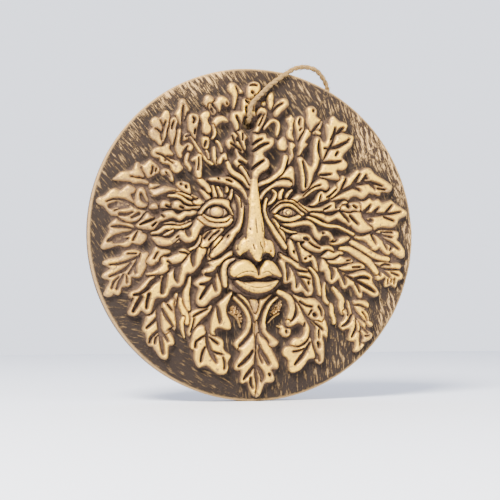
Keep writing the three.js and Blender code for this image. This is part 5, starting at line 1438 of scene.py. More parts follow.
        0.4, -5.8, 0.8, -8, 1.8, -9.4, 2, -12, 1, -14.2, 0.2, -15.8,
    ), (0.6, 0.8)),
    "nose ridge line": Groove(0.9, (-2.2, 8, -2, 4, -1.6, 0), (0.6, 0.7)),
    "nose side line": Groove(0.9, (1.4, 5.4, 1.8, 3, 2.2, 0.4), (0.6, 0.7)),
    "nose pit": Groove(1, (-5.9, 2.4, -5.6, 1.6), (0.7, 0.7)),
}

# The hanging twine's middle line, out of the knot, through the hole, over the rim and back
TWINE_ROUTE: tuple[Place, ...] = (
    (0.4, 4.4, 61.4), (-1.8, 3.2, 64.6), (-4, -0.6, 67.4), (-4.6, -6.5, 67.9), (-4.7, -11.5, 68),
    (-5, -15.8, 69.4), (-5.2, -17.6, 72.6), (-4.4, -17.7, 76), (-2.2, -17.4, 79.1), (1.4, -16, 82.6),
    (5.4, -13.8, 86.6), (9.6, -12.4, 90.5), (15.7, -12.1, 95.2), (20.3, -11.3, 98.3), (24.1, -9.8, 100.8),
    (28.9, -8, 102.5), (34.2, -6, 103.1), (39.9, -4, 102), (44.5, -1.6, 98.7), (48, 0.9, 94.4),
    (49.2, 2.5, 89.5), (46.6, 2.6, 84), (40.5, 2.2, 78.6), (32, 2.1, 73.2), (23, 2.2, 67.6),
    (15, 2.9, 62.8), (8.6, 4.2, 59.2),
)


class Value:
    """One number in a node tree. Python's arithmetic on it adds Math nodes."""

    def __init__(self, bench: "NodeBench", socket: bpy.types.NodeSocket) -> None:
        """Wrap a socket of the bench's tree."""
        self.bench = bench
        self.socket = socket

    def math(self, operation: str, *terms: Any) -> "Value":
        """Add a Math node.

        Args:
            operation: The node's operation.
            *terms: The numbers or Values that go into it, in order.

        Returns:
            What comes out of it.
        """
        node = self.bench.add("ShaderNodeMath", {"operation": operation}, *terms)
        return Value(self.bench, node.outputs[0])

    def __add__(self, other: Any) -> "Value":
        """Add."""
        return self.math("ADD", self, other)

    __radd__ = __add__

    def __sub__(self, other: Any) -> "Value":
        """Take other away."""
        return self.math("SUBTRACT", self, other)

    def __rsub__(self, other: Any) -> "Value":
        """Take this away from other."""
        return self.math("SUBTRACT", other, self)

    def __mul__(self, other: Any) -> "Value":
        """Multiply."""
        return self.math("MULTIPLY", self, other)

    __rmul__ = __mul__

    def __truediv__(self, other: Any) -> "Value":
        """Divide by other."""
        return self.math("DIVIDE", self, other)

    def __rtruediv__(self, other: Any) -> "Value":
        """Divide other by this."""
        return self.math("DIVIDE", other, self)

    def most(self, other: Any) -> "Value":
        """Return the greater of the two."""
        return self.math("MAXIMUM", self, other)

    def stepped(self, low: float, high: float) -> "Value":
        """Rise smoothly from 0 at low to 1 at high.

        Args:
            low: Where the rise starts, which may be above high for a fall.
            high: Where it ends.

        Returns:
            The risen value.
        """
        sockets = {"Value": self, "From Min": low, "From Max": high}
        node = self.bench.add("ShaderNodeMapRange", {"interpolation_type": "SMOOTHSTEP"}, **sockets)
        return Value(self.bench, node.outputs[0])


class NodeBench:
    """Adds and links the nodes of one tree."""

    def __init__(self, tree: bpy.types.NodeTree) -> None:
        """Work on tree, from empty."""
        self.tree = tree
        tree.nodes.clear()

    def add(
        self, kind: str, settings: dict[str, Any] | None = None, *values: Any, **named: Any,
    ) -> bpy.types.Node:
        """Add a node.

        Args:
            kind: The node's type.
            settings: Its settings, set first.
            *values: Values or links of its first sockets, in order.
            **named: Values or links of its sockets by name, with an underscore for a space.

        Returns:
            The node.
        """
        node = self.tree.nodes.new(kind)
        for name, value in (settings or {}).items():
            setattr(node, name, value)
        for i, value in enumerate(values):
            self.feed(node.inputs[i], value)
        for name, value in named.items():
            self.feed(node.inputs[name.replace("_", " ")], value)
        return node

    def feed(self, socket: bpy.types.NodeSocket, value: Any) -> None:
        """Set a socket to a number or colour, or link a Value or socket to it.

        Args:
            socket: The socket.
            value: What goes into it.
        """
        if isinstance(value, Value):
            self.tree.links.new(value.socket, socket)
        elif isinstance(value, bpy.types.NodeSocket):
            self.tree.links.new(value, socket)
        elif socket.type == "RGBA" and len(value) == 3:
            socket.default_value = (*value, 1)
        else:
            socket.default_value = value

    def value(self, node: bpy.types.Node, output: str | int = 0) -> Value:
        """Return one number that comes out of a node."""
        return Value(self, node.outputs[output])

    def scaled(self, vector: bpy.types.NodeSocket, scale: Place) -> bpy.types.NodeSocket:
        """Return a vector with each part multiplied by its scale."""
        return self.add("ShaderNodeVectorMath", {"operation": "MULTIPLY"}, vector, scale).outputs[0]

    def noise(self, vector: bpy.types.NodeSocket, scale: float, detail: float, rough: float) -> Value:
        """Return a noise from 0 to 1.

        Args:
            vector: The coordinates that it reads.
            scale: How many grains there are in one unit of them.
            detail: How many finer noises are in it.
            rough: How strong those are.

        Returns:
            The noise.
        """
        node = self.add("ShaderNodeTexNoise", {}, Vector=vector, Scale=scale, Detail=detail, Roughness=rough)
        return self.value(node, "Fac")

    def mixed(self, share: Any, first: Any, second: Any) -> bpy.types.NodeSocket:
        """Mix two colours.

        Args:
            share: How much of the second one there is.
            first: The first colour.
            second: The second colour.

        Returns:
            The mixed colour.
        """
        node = self.add("ShaderNodeMix", {"data_type": "RGBA", "clamp_factor": True})
        for socket, value in ((node.inputs[0], share), (node.inputs[6], first), (node.inputs[7], second)):
            self.feed(socket, value)
        return node.outputs[2]

    def attribute(self, name: str) -> Value:
        """Return the number that the piece holds under a name."""
        return self.value(self.add("ShaderNodeAttribute", {"attribute_name": name}), "Fac")

    def attribute_vector(self, name: str) -> bpy.types.NodeSocket:
        """Return the vector that the piece holds under a name."""
        return self.add("ShaderNodeAttribute", {"attribute_name": name}).outputs["Vector"]


class Stain(Enum):
    """What each point of the plaque knows of its paint, and of its painted light and shade: how much painted
    highlight its crest takes, and how lit it is painted.
    """

    GILT = "gilt"
    CREST = "crest"
    GROUND = "ground"
    LIT = "lit"
    RIM = "rim"
    FRONT = "front"
    HATCH = "hatch"


@dataclass(frozen=True)
class BronzedTerracotta:
    """Bronze-gold wax rubbed over a dark brown patina on fired clay, with painted light and shade on the gold
    and the ground.

    A noise is how many grains one unit has, how many finer noises are in it and how strong those are. A span
    is where a change starts and ends. The rest are shares, each of what its name says last.
    """

    # gold is the gold at its painted highlight; the darker gold on the next line is the gold off it: painted
    # shade on the flanks and where unlit, and wear in pits and mottle
    gold: Colour = (1.0, 0.60, 0.035)
    worn_and_shaded_gold: Colour = (0.35, 0.208, 0.078)
    patina: Colour = (0.054, 0.033, 0.0225)
    dust: Colour = (0.115, 0.071, 0.044)
    ground: Colour = (0.030, 0.018, 0.011)
    # The ground's colour on the next line is its painted shade, used where it is painted unlit
    shaded_ground: Colour = (0.020, 0.013, 0.0095)
    streak: Colour = (0.62, 0.38, 0.14)
    clay: Colour = (0.20, 0.115, 0.068)
    metal: float = 0.6
    dull: float = 0.78
    shine: float = 0.30
    specular: float = 0.2
    mottle: Noise = (90.0, 4, 0.6)
    speck: Noise = (900.0, 3, 0.6)
    grain: Noise = (2600.0, 2, 0.6)
    pit: Noise = (520.0, 2, 0.5)
    stroke: Noise = (1.0, 3, 0.55)
    band: Noise = (1.0, 2, 0.5)
    band_scale: Place = (0.8, 0.36, 1.0)
    pit_span: Point = (0.56, 0.68)
    pitted_span: Point = (0.38, 0.60)
    gilt_span: Point = (0.25, 0.75)
    gilt_speck: float = 0.6
    gilt_mottle: float = 0.3
    gilt_pit: float = 0.5
    # The painted highlight on the gold: how the crests, the painted light, specks, mottle and pits brighten
    # or dull it
    bright_span: Point = (0.15, 0.95)
    bright_crest: float = 0.8
    bright_speck: float = 1.1
    bright_mottle: float = 1.2
    bright_light: float = 0.3
    bright_pit: float = 0.7
    dust_span: Point = (0.45, 0.75)
    streak_span: Point = (0.50, 0.63)
    streak_light: float = 0.06
    streak_mottle: float = 0.12
    streak_speck: float = 0.16
    # How faint the pale strokes are painted where the ground is unlit, as painted shade
    unlit_streak: float = 0.22
    rim_streak: float = 0.55
    # Where the ground turns from its painted shade to its own colour, by the painted light and mottle
    ground_lit_span: Point = (0.1, 0.95)
    ground_lit_mottle: float = 0.6
    rough_grain: float = 0.10
    bump_span: Point = (0.44, 0.62)
    bump_stroke: float = 0.9
    bump_speck: float = 0.35
    bump_grain: float = 0.15
    bump_pit: float = 0.3
    bump_strength: float = 0.55
    bump_depth: float = 0.0006

    def material(self) -> bpy.types.Material:
        """Build the finish.

        Returns:
            The material, which reads the piece's stains and its Object coordinates.
        """
        made = bpy.data.materials.new("bronzed_terracotta_cast")
        made.use_nodes = True
        bench = NodeBench(made.node_tree)
        place = bench.add("ShaderNodeTexCoord").outputs["Object"]
        gilt, crest, ground, lit, rim, front = (
            bench.attribute(stain.value) for stain in Stain if stain is not Stain.HATCH
        )
        mottle = bench.noise(place, *self.mottle)
        speck = bench.noise(place, *self.speck)
        grain = bench.noise(place, *self.grain)
        hatch = bench.attribute_vector(Stain.HATCH.value)
        bands = bench.noise(bench.scaled(hatch, self.band_scale), *self.band)
        strokes = bench.noise(hatch, *self.stroke) * 0.5 + bands * 0.5
        pits = bench.noise(place, *self.pit).stepped(*self.pit_span) * mottle.stepped(*self.pitted_span)
        rubbed = gilt + (speck - 0.5) * self.gilt_speck + (mottle - 0.5) * self.gilt_mottle
        rubbed = (rubbed - self.gilt_pit * pits).stepped(*self.gilt_span)
        # The painted highlight: the gold painted brighter on the crests and where lit, duller in pits and by
        # speck and mottle as wear
        highlight_and_wear = crest * self.bright_crest + (speck - 0.5) * self.bright_speck
        highlight_and_wear = highlight_and_wear + (mottle - 0.5) * self.bright_mottle + lit * self.bright_light
        highlight_and_wear = (highlight_and_wear - self.bright_pit * pits).stepped(*self.bright_span)
        gold = bench.mixed(highlight_and_wear, self.worn_and_shaded_gold, self.gold)
        patina = bench.mixed(speck.stepped(*self.dust_span), self.patina, self.dust)
        # The pale strokes, painted fainter where the ground is unlit, as painted shade
        streaks = strokes + self.streak_light * (lit - 0.5) + self.streak_mottle * (mottle - 0.5)
        streaks = (streaks + self.streak_speck * (speck - 0.5)).stepped(*self.streak_span)
        streaks = streaks * (self.unlit_streak + (1 - self.unlit_streak) * lit)
        streaks = streaks.most(rim * self.rim_streak)
        # The ground, painted darker where unlit as painted shade, with mottle
        ground_lit = (lit + self.ground_lit_mottle * (mottle - 0.5)).stepped(*self.ground_lit_span)
        field = bench.mixed(streaks, bench.mixed(ground_lit, self.shaded_ground, self.ground), self.streak)
        relief = bench.mixed(rubbed, bench.mixed(ground, patina, field), gold)
        back = bench.mixed(mottle, self.clay, self.ground)
        colour = bench.mixed(front, back, relief)
        waxed = rubbed * front
        rough = self.dull - self.shine * waxed + self.rough_grain * (grain - 0.5)
        texture = strokes.stepped(*self.bump_span) * ground * self.bump_stroke + speck * self.bump_speck
        texture = texture + grain * self.bump_grain - pits * self.bump_pit
        bump = bench.add(
            "ShaderNodeBump", {}, Strength=self.bump_strength, Distance=self.bump_depth, Height=texture,
        )
        shader = bench.add(
            "ShaderNodeBsdfPrincipled", {}, Base_Color=colour, Metallic=self.metal * waxed, Roughness=rough,
            Specular_IOR_Level=self.specular, Normal=bump.outputs[0],
        )
        bench.add("ShaderNodeOutputMaterial", {}, shader.outputs[0])
        return made


@dataclass(frozen=True)
class JuteTwine:
    """Natural two-ply jute: straw-brown fibres, with the hollows between them painted darker, partly as fibre
    tone and partly as painted shade.
    """

    pale: Colour = (0.37, 0.225, 0.072)
    deep: Colour = (0.15, 0.087, 0.029)
    fibre: Noise = (1.0, 4, 0.65)
    stain: Noise = (160.0, 3, 0.5)
    fibre_span: Point = (0.3, 0.7)
    fibre_share: float = 0.75
    dull: float = 0.95
    bump_strength: float = 0.6
    bump_depth: float = 0.0003

    def material(self) -> bpy.types.Material:
        """Build the finish.

        Returns:
            The material, which reads the piece's fibre attribute and its Object coordinates.
        """
        made = bpy.data.materials.new("jute_two_ply")
        made.use_nodes = True
        bench = NodeBench(made.node_tree)
        place = bench.add("ShaderNodeTexCoord").outputs["Object"]
        fibres = bench.noise(bench.attribute_vector("fibre"), *self.fibre)
        stain = bench.noise(place, *self.stain)
        # The deep colour falls where the fibre bumps are low: fibre tone partly, painted shade in the hollows
        # partly
        light = fibres.stepped(*self.fibre_span) * self.fibre_share + stain * (1 - self.fibre_share)
        colour = bench.mixed(light, self.deep, self.pale)
        bump = bench.add(
            "ShaderNodeBump", {}, Strength=self.bump_strength, Distance=self.bump_depth, Height=fibres,
        )
        shader = bench.add(
            "ShaderNodeBsdfPrincipled", {}, Base_Color=colour, Roughness=self.dull, Normal=bump.outputs[0],
        )
        bench.add("ShaderNodeOutputMaterial", {}, shader.outputs[0])
        return made


@dataclass(frozen=True)
class PaleFloor:
    """The plain pale surface that the plaque stands on."""

    colour: Colour = (0.78, 0.82, 0.92)
    dull: float = 0.7

    def material(self) -> bpy.types.Material:
        """Build the finish.

        Returns:
            The material.
        """
        made = bpy.data.materials.new("pale_floor")
        made.use_nodes = True
        bench = NodeBench(made.node_tree)
        shader = bench.add("ShaderNodeBsdfPrincipled", {}, Base_Color=self.colour, Roughness=self.dull)
        bench.add("ShaderNodeOutputMaterial", {}, shader.outputs[0])
        return made


def new_piece(name: str, mesh: bpy.types.Mesh, material: bpy.types.Material) -> bpy.types.Object:
    """Link a mesh as a piece of the scene.

    Args:
        name: The piece's name.
        mesh: Its mesh, in place.
        material: Its finish.

    Returns:
        The piece.
    """
    mesh.materials.clear()
    mesh.materials.append(material)
    piece = bpy.data.objects.new(name, mesh)
    bpy.context.scene.collection.objects.link(piece)
    return piece


def evaluated_mesh(piece: bpy.types.Object) -> bpy.types.Mesh:
    """Make a plain mesh of a piece with its modifiers applied.

    Args:
        piece: The piece.

    Returns:
        Its mesh.
    """
    bpy.context.view_layer.update()
    depsgraph = bpy.context.evaluated_depsgraph_get()
    return bpy.data.meshes.new_from_object(piece.evaluated_get(depsgraph), depsgraph=depsgraph)


def triangles_in(piece: bpy.types.Object) -> int:
    """Return how many triangles a piece has."""
    return sum(len(face.vertices) - 2 for face in piece.data.polygons)


# Where the tool strokes of the ground are centred, and the way they run
STROKE_PATCHES: tuple[tuple[Point, Point], ...] = (
    ((-62, 62), (1, -1.2)),
    ((-20, 92), (1, -1.4)),
    ((20, 92), (1, -1.4)),
    ((62, 66), (0.35, -1)),
    ((86, 42), (0.35, -1)),
    ((92, 4), (0.1, -1)),
    ((82, -46), (0.25, -1)),
    ((46, -76), (0.05, -1)),
    ((2, -60), (0.1, -1)),
    ((-44, -78), (1, -0.6)),
    ((-78, -52), (1, -0.2)),
    ((-94, -6), (0.6, -1)),
    ((-84, 40), (1, -1.1)),
)


@dataclass(frozen=True)
class RubbingAndHighlight:
    """Where the gold took and the dark stayed, and where the gold takes a painted highlight. A pair is where
    a change starts and ends.

    The pairs whose names end in share are shares of cover. The others, and the blurs, are millimetres.
    """

    hollow: Point = (0.8, 2.6)
    # crest and tall: where the gold takes its painted highlight, on the crests and on the tallest forms,
    # partly as wax burnished there
    crest: Point = (0.05, 1.1)
    tall: Point = (6.5, 9.0)
    ground: Point = (0.6, 1.8)
    low: Point = (2.0, 0.6)
    foliage: Point = (30.0, 50.0)
    foliage_centre: Point = (-2.5, -5.0)
    rim: Point = (1.6, 0.6)
    # How far round the hole the dark patina is painted, partly as painted shade at its edge
    bore: Point = (0.9, 0.2)
    level_blur: float = 0.25
    top_reach: float = 1.6
    top_blur: float = 0.8
    leafy_blur: float = 2.6
    # How near the leaves a place is, which sets the painted shade on the ground beside them
    near_blur: float = 4.5
    beside_blur: float = 0.9
    leafy_share: Point = (0.3, 0.6)
    bare_share: Point = (0.3, 0.9)
    beside_share: Point = (0.05, 0.2)
    near_share: Point = (0.02, 0.35)
    outer_gain: float = 0.25
    scored_dark: float = 0.9
    low_loss: float = 0.6
    # How much painted highlight the tallest forms take, and how the crests' painted highlight weakens to the
    # plaque's left
    tall_gain: float = 0.85
    left_crest: Point = (40.0, 72.0)
    left_lean: float = 0.35
    left_loss: float = 0.5

    def fields(self, carving: Carving) -> dict[str, Grid]:
        """Work out the paint on the carving's own grid.

        Args:
            carving: The carved front.

        Returns:
            From 0 to 1, how gilt, how much of the crests' painted highlight, how bare and how near to the
            leaves each place is.
        """
        cells = 1 / carving.step
        covered = carving.covered
        level = blurred(carving.height, self.level_blur * cells)
        below = blurred(highest(carving.height, int(self.top_reach * cells)), self.top_blur * cells) - level
        leafy = smooth_step(*self.leafy_share, blurred(covered, self.leafy_blur * cells))
        bare = smooth_step(*self.bare_share, 1 - blurred(covered, self.level_blur * cells))
        beside = smooth_step(*self.beside_share, blurred(covered, self.beside_blur * cells))
        out = np.hypot(carving.u - self.foliage_centre[0], carving.v - self.foliage_centre[1])
        between = leafy * bare
        recess = np.maximum(smooth_step(*self.hollow, below), between)
        recess = recess * (1 - self.outer_gain * smooth_step(*self.foliage, out) * between * (1 - beside))
        recess = np.maximum(recess, self.scored_dark * carving.scored)
        ground = (1 - smooth_step(*self.ground, level)) * (1 - leafy)
        # The tallest forms take the painted highlight too
        high = self.tall_gain * smooth_step(*self.tall, level)
        return {
            "gilt": (1 - recess) * (1 - ground) * (1 - smooth_step(*self.low, level) * self.low_loss),
            # The crests' painted highlight, partly wax burnished there
            "crest": np.maximum(1 - smooth_step(*self.crest, below), high),
            "ground": ground,
            "near": smooth_step(*self.near_share, blurred(covered, self.near_blur * cells)),
        }

    def crest_left(self, u: Grid, v: Grid) -> Grid:
        """Return how bright the painted highlight of a crest is at each place, which falls off to the
        plaque's left.
        """
        return 1 - self.left_loss * smooth_step(*self.left_crest, self.left_lean * v - u)


@dataclass(frozen=True)
class StrokeFading:
    """The painted light on the front: lighter up to the right, fading down the plaque, to its left and in its
    crown, with painted shade beside the leaves; the ground's pale strokes, its tone and the gold's brightness
    follow it.
    """

    heading: Point = (0.55, 0.8)
    span: Point = (-85.0, 60.0)
    left: Point = (45.0, 75.0)
    left_loss: float = 0.4
    crown_middle: float = 28.0
    crown_side: Point = (48.0, 20.0)
    crown_rise: Point = (50.0, 74.0)
    crown_loss: float = 0.55
    # How much painted shade darkens the front beside the leaves
    near_loss: float = 0.85

    def strength(self, u: Grid, v: Grid, near: Grid) -> Grid:
        """Work out the painted light: how lit each place is painted, which also sets how strongly the strokes
        show.

        Args:
            u: The places' first coordinates.
            v: Their second coordinates.
            near: How near to the leaves each place is, from 0 to 1.

        Returns:
            How lit each place is painted, from 0 to 1, which is also the strokes' strength.
        """
        along = self.heading[0] * u + self.heading[1] * v
        lit = smooth_step(*self.span, along) * (1 - self.left_loss * smooth_step(*self.left, -u))
        beside = smooth_step(*self.crown_side, np.abs(u - self.crown_middle))
        crown = beside * smooth_step(*self.crown_rise, v)
        return lit * (1 - self.near_loss * near) * (1 - self.crown_loss * crown)


@dataclass
class CastPlaque:
    """The round cast plaque: the slab, the whole relief on its front and the hole for the twine."""

    radius: float = round((PLAQUE_HIGH.x - PLAQUE_LOW.x) / 2 / MM, 2)
    relief_top: float = round(-PLAQUE_LOW.y / MM, 2)
    thickness: float = 10.0
    rim_rounding: float = 1.6
    hole_radius: float = 3.5
    hole: Point = (-4.5, 66.0)
    grid_step: float = 0.25
    rings: int = 290
    rim_rings: int = 6
    triangles: int = 184_000
    drill_sides: int = 64
    crease_angle: float = 55.0
    fill_share: float = 0.3
    fill_reach: float = 2.2
    softening: float = 0.22
    stroke_density: Point = (0.17, 1.6)
    patch_shift: float = 7.0
    front_depth: float = 2.5
    rubbing_and_highlight: RubbingAndHighlight = RubbingAndHighlight()
    fading: StrokeFading = StrokeFading()

    def carve(self) -> Carving:
        """Carve every form of the relief, from the back ones to the front ones.

        Returns:
            The carved front.
        """
        carving = Carving(self.radius, self.grid_step)
        for form in FORMS.values():
            form.shape(carving)
        carving.fill(self.fill_share, self.fill_reach)
        carving.height = blurred(carving.height, self.softening / self.grid_step)
        carving.roughen(depth=0.09, grain=0.45, seed=5)
        carving.roughen(depth=0.12, grain=3.5, seed=6)
        carving.height *= (self.relief_top - self.thickness) / carving.height.max()
        return carving

    def shell(self, carving: Carving) -> bpy.types.Mesh:
        """Build the closed slab with the relief on its front.

        Args:
            carving: The carved front.

        Returns:
            The mesh, in metres.
        """
        m = self.rings
        steps = np.arange(-m, m + 1)
        a, b = np.meshgrid(steps, steps)
        ring = np.maximum(np.abs(a), np.abs(b))
        wide = np.abs(a) >= np.abs(b)
        safe_a = np.where(a == 0, 1, a)
        safe_b = np.where(b == 0, 1, b)
        angle = np.where(wide, math.pi / 4 * b / safe_a, math.pi / 2 - math.pi / 4 * a / safe_b)
        sign = np.where(wide, np.sign(a), np.sign(b))
        flat_rings = m - self.rim_rings
        turned = np.clip(ring - flat_rings, 0, None) / self.rim_rings * math.pi / 2
        out = np.minimum(ring, flat_rings) / flat_rings * (self.radius - self.rim_rounding)
        out = out + self.rim_rounding * np.sin(turned)
        u, v = sign * out * np.cos(angle), sign * out * np.sin(angle)
        drop = self.rim_rounding * (1 - np.cos(turned))
        y = -(self.thickness + carving.sampled(carving.height, u, v)) + drop
        front = np.stack([u, y, v], axis=-1).reshape(-1, 3)
        index = np.arange(len(front)).reshape(u.shape)
        quads = np.stack([index[:-1, :-1], index[:-1, 1:], index[1:, 1:], index[1:, :-1]], -1)
        rim = np.concatenate([index[0, :-1], index[:-1, -1], index[-1, :0:-1], index[:0:-1, 0]])
        back = front[rim] * (1, 0, 1)
        loops = len(rim)
        behind = len(front) + np.arange(loops)
        after = np.roll(np.arange(loops), -1)
        sides = np.stack([rim, behind, behind[after], rim[after]], -1)
        faces = np.vstack([quads.reshape(-1, 4), sides]).tolist() + [behind.tolist()]
        mesh = bpy.data.meshes.new("plaque_cast")
        mesh.from_pydata((np.vstack([front, back]) * MM).tolist(), [], faces)
        return mesh

    def outward(self, mesh: bpy.types.Mesh) -> None:
        """Turn every face of a closed mesh outwards.

        Args:
            mesh: The mesh, which is changed in place.
        """
        work = bmesh.new()
        work.from_mesh(mesh)
        bmesh.ops.recalc_face_normals(work, faces=work.faces)
        work.to_mesh(mesh)
        work.free()

    def thinned_and_bored(self, mesh: bpy.types.Mesh) -> bpy.types.Mesh:
        """Thin the mesh where the relief is plain and cut the hole for the twine.

        Args:
            mesh: The closed slab.

        Returns:
            The finished mesh.
        """
        slab = bpy.data.objects.new("plaque_slab", mesh)
        bpy.context.scene.collection.objects.link(slab)
        thin = slab.modifiers.new("thin", "DECIMATE")
        front, side, back = 2 * (2 * self.rings) ** 2, 2 * 8 * self.rings, 8 * self.rings
        thin.ratio = self.triangles / (front + side + back)
        drill = self.drill()
        bore = slab.modifiers.new("bore", "BOOLEAN")
        bore.operation = "DIFFERENCE"
        bore.solver = "EXACT"
        bore.object = drill
        made = evaluated_mesh(slab)
        for used in (slab, drill):
            bpy.data.objects.remove(used)
        return made

    def drill(self) -> bpy.types.Object:
        """Make the round bar that the hole is cut with.

        Returns:
            The bar.
        """
        work = bmesh.new()
        bmesh.ops.create_cone(
            work, cap_ends=True, segments=self.drill_sides, radius1=self.hole_radius * MM,
            radius2=self.hole_radius * MM, depth=6 * self.thickness * MM,
        )
        bmesh.ops.rotate(work, verts=work.verts, matrix=Matrix.Rotation(math.pi / 2, 3, "X"))
        bmesh.ops.translate(work, verts=work.verts, vec=Vector((self.hole[0], 0, self.hole[1])) * MM)
        mesh = bpy.data.meshes.new("hole_drill")
        work.to_mesh(mesh)
        work.free()
        bar = bpy.data.objects.new("hole_drill", mesh)
        bpy.context.scene.collection.objects.link(bar)
        return bar

    def stain(self, mesh: bpy.types.Mesh, carving: Carving) -> None:
        """Store on the mesh where the gold, the bare ground and the tool strokes are, with the painted light:
        the crests' painted highlight and how lit each place is painted.

        Args:
            mesh: The finished mesh.
            carving: The carved front.
        """
        paint = self.rubbing_and_highlight.fields(carving)
        places = np.empty(len(mesh.vertices) * 3, np.float32)
        mesh.vertices.foreach_get("co", places)
        places = places.reshape(-1, 3) / MM
        u, v = places[:, 0], places[:, 2]
        gilt, crest, ground, near = (carving.sampled(field, u, v) for field in paint.values())
        front = (places[:, 1] < -self.thickness + self.front_depth).astype(float)
        rim = smooth_step(*(self.radius - inward for inward in self.rubbing_and_highlight.rim), np.hypot(u, v))
        # Round the hole the gold and the ground give way to the dark patina, partly as painted shade at the
        # hole's edge
        from_hole = np.hypot(u - self.hole[0], v - self.hole[1])
        bore = smooth_step(*(self.hole_radius + past for past in self.rubbing_and_highlight.bore), from_hole)
        fields = {
            Stain.GILT: gilt * (1 - bore),
            # The crests' painted highlight, weaker to the left, and the painted light of the whole front
            Stain.CREST: crest * self.rubbing_and_highlight.crest_left(u, v),
            Stain.GROUND: ground * (1 - bore),
            Stain.LIT: self.fading.strength(u, v, near),
            Stain.RIM: rim * front,
            Stain.FRONT: front,
        }
        for stain, values in fields.items():
            layer = mesh.attributes.new(stain.value, "FLOAT", "POINT")
            layer.data.foreach_set("value", values.astype(np.float32))
        layer = mesh.attributes.new(Stain.HATCH.value, "FLOAT_VECTOR", "POINT")
        layer.data.foreach_set("vector", self.strokes(u, v).astype(np.float32).ravel())

    def strokes(self, u: Grid, v: Grid) -> Grid:
        """Lay the tool strokes of the ground: each place takes the direction of the nearest patch.

        Args:
            u: The places' first coordinates.
            v: Their second coordinates.

        Returns:
            For each place, how far it is along the strokes, across them, and which patch it is in.
        """
        nearest = np.full(u.shape, FAR)
        rows = np.zeros((*u.shape, 3))
        for i, (centre, heading) in enumerate(STROKE_PATCHES):
            away = np.hypot(u - centre[0], v - centre[1])
            h = np.array(heading) / np.hypot(*heading)
            along, across = u * h[0] + v * h[1], v * h[0] - u * h[1]
            row = np.stack([
                along * self.stroke_density[0], across * self.stroke_density[1],
                np.full(u.shape, self.patch_shift * i),
            ], -1)
            closer = away < nearest
            nearest[closer] = away[closer]
            rows[closer] = row[closer]
        return rows

    def build(self, finish: BronzedTerracotta) -> bpy.types.Object:
        """Build the plaque.

        Args:
            finish: Its finish.

        Returns:
            The finished piece.
        """
        carving = self.carve()
        mesh = self.shell(carving)
        self.outward(mesh)
        mesh = self.thinned_and_bored(mesh)
        self.stain(mesh, carving)
        mesh.shade_smooth()
        mesh.set_sharp_from_angle(angle=math.radians(self.crease_angle))
        piece = new_piece("plaque_cast", mesh, finish.material())
        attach(piece, "root")
        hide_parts("plaque")
        return piece


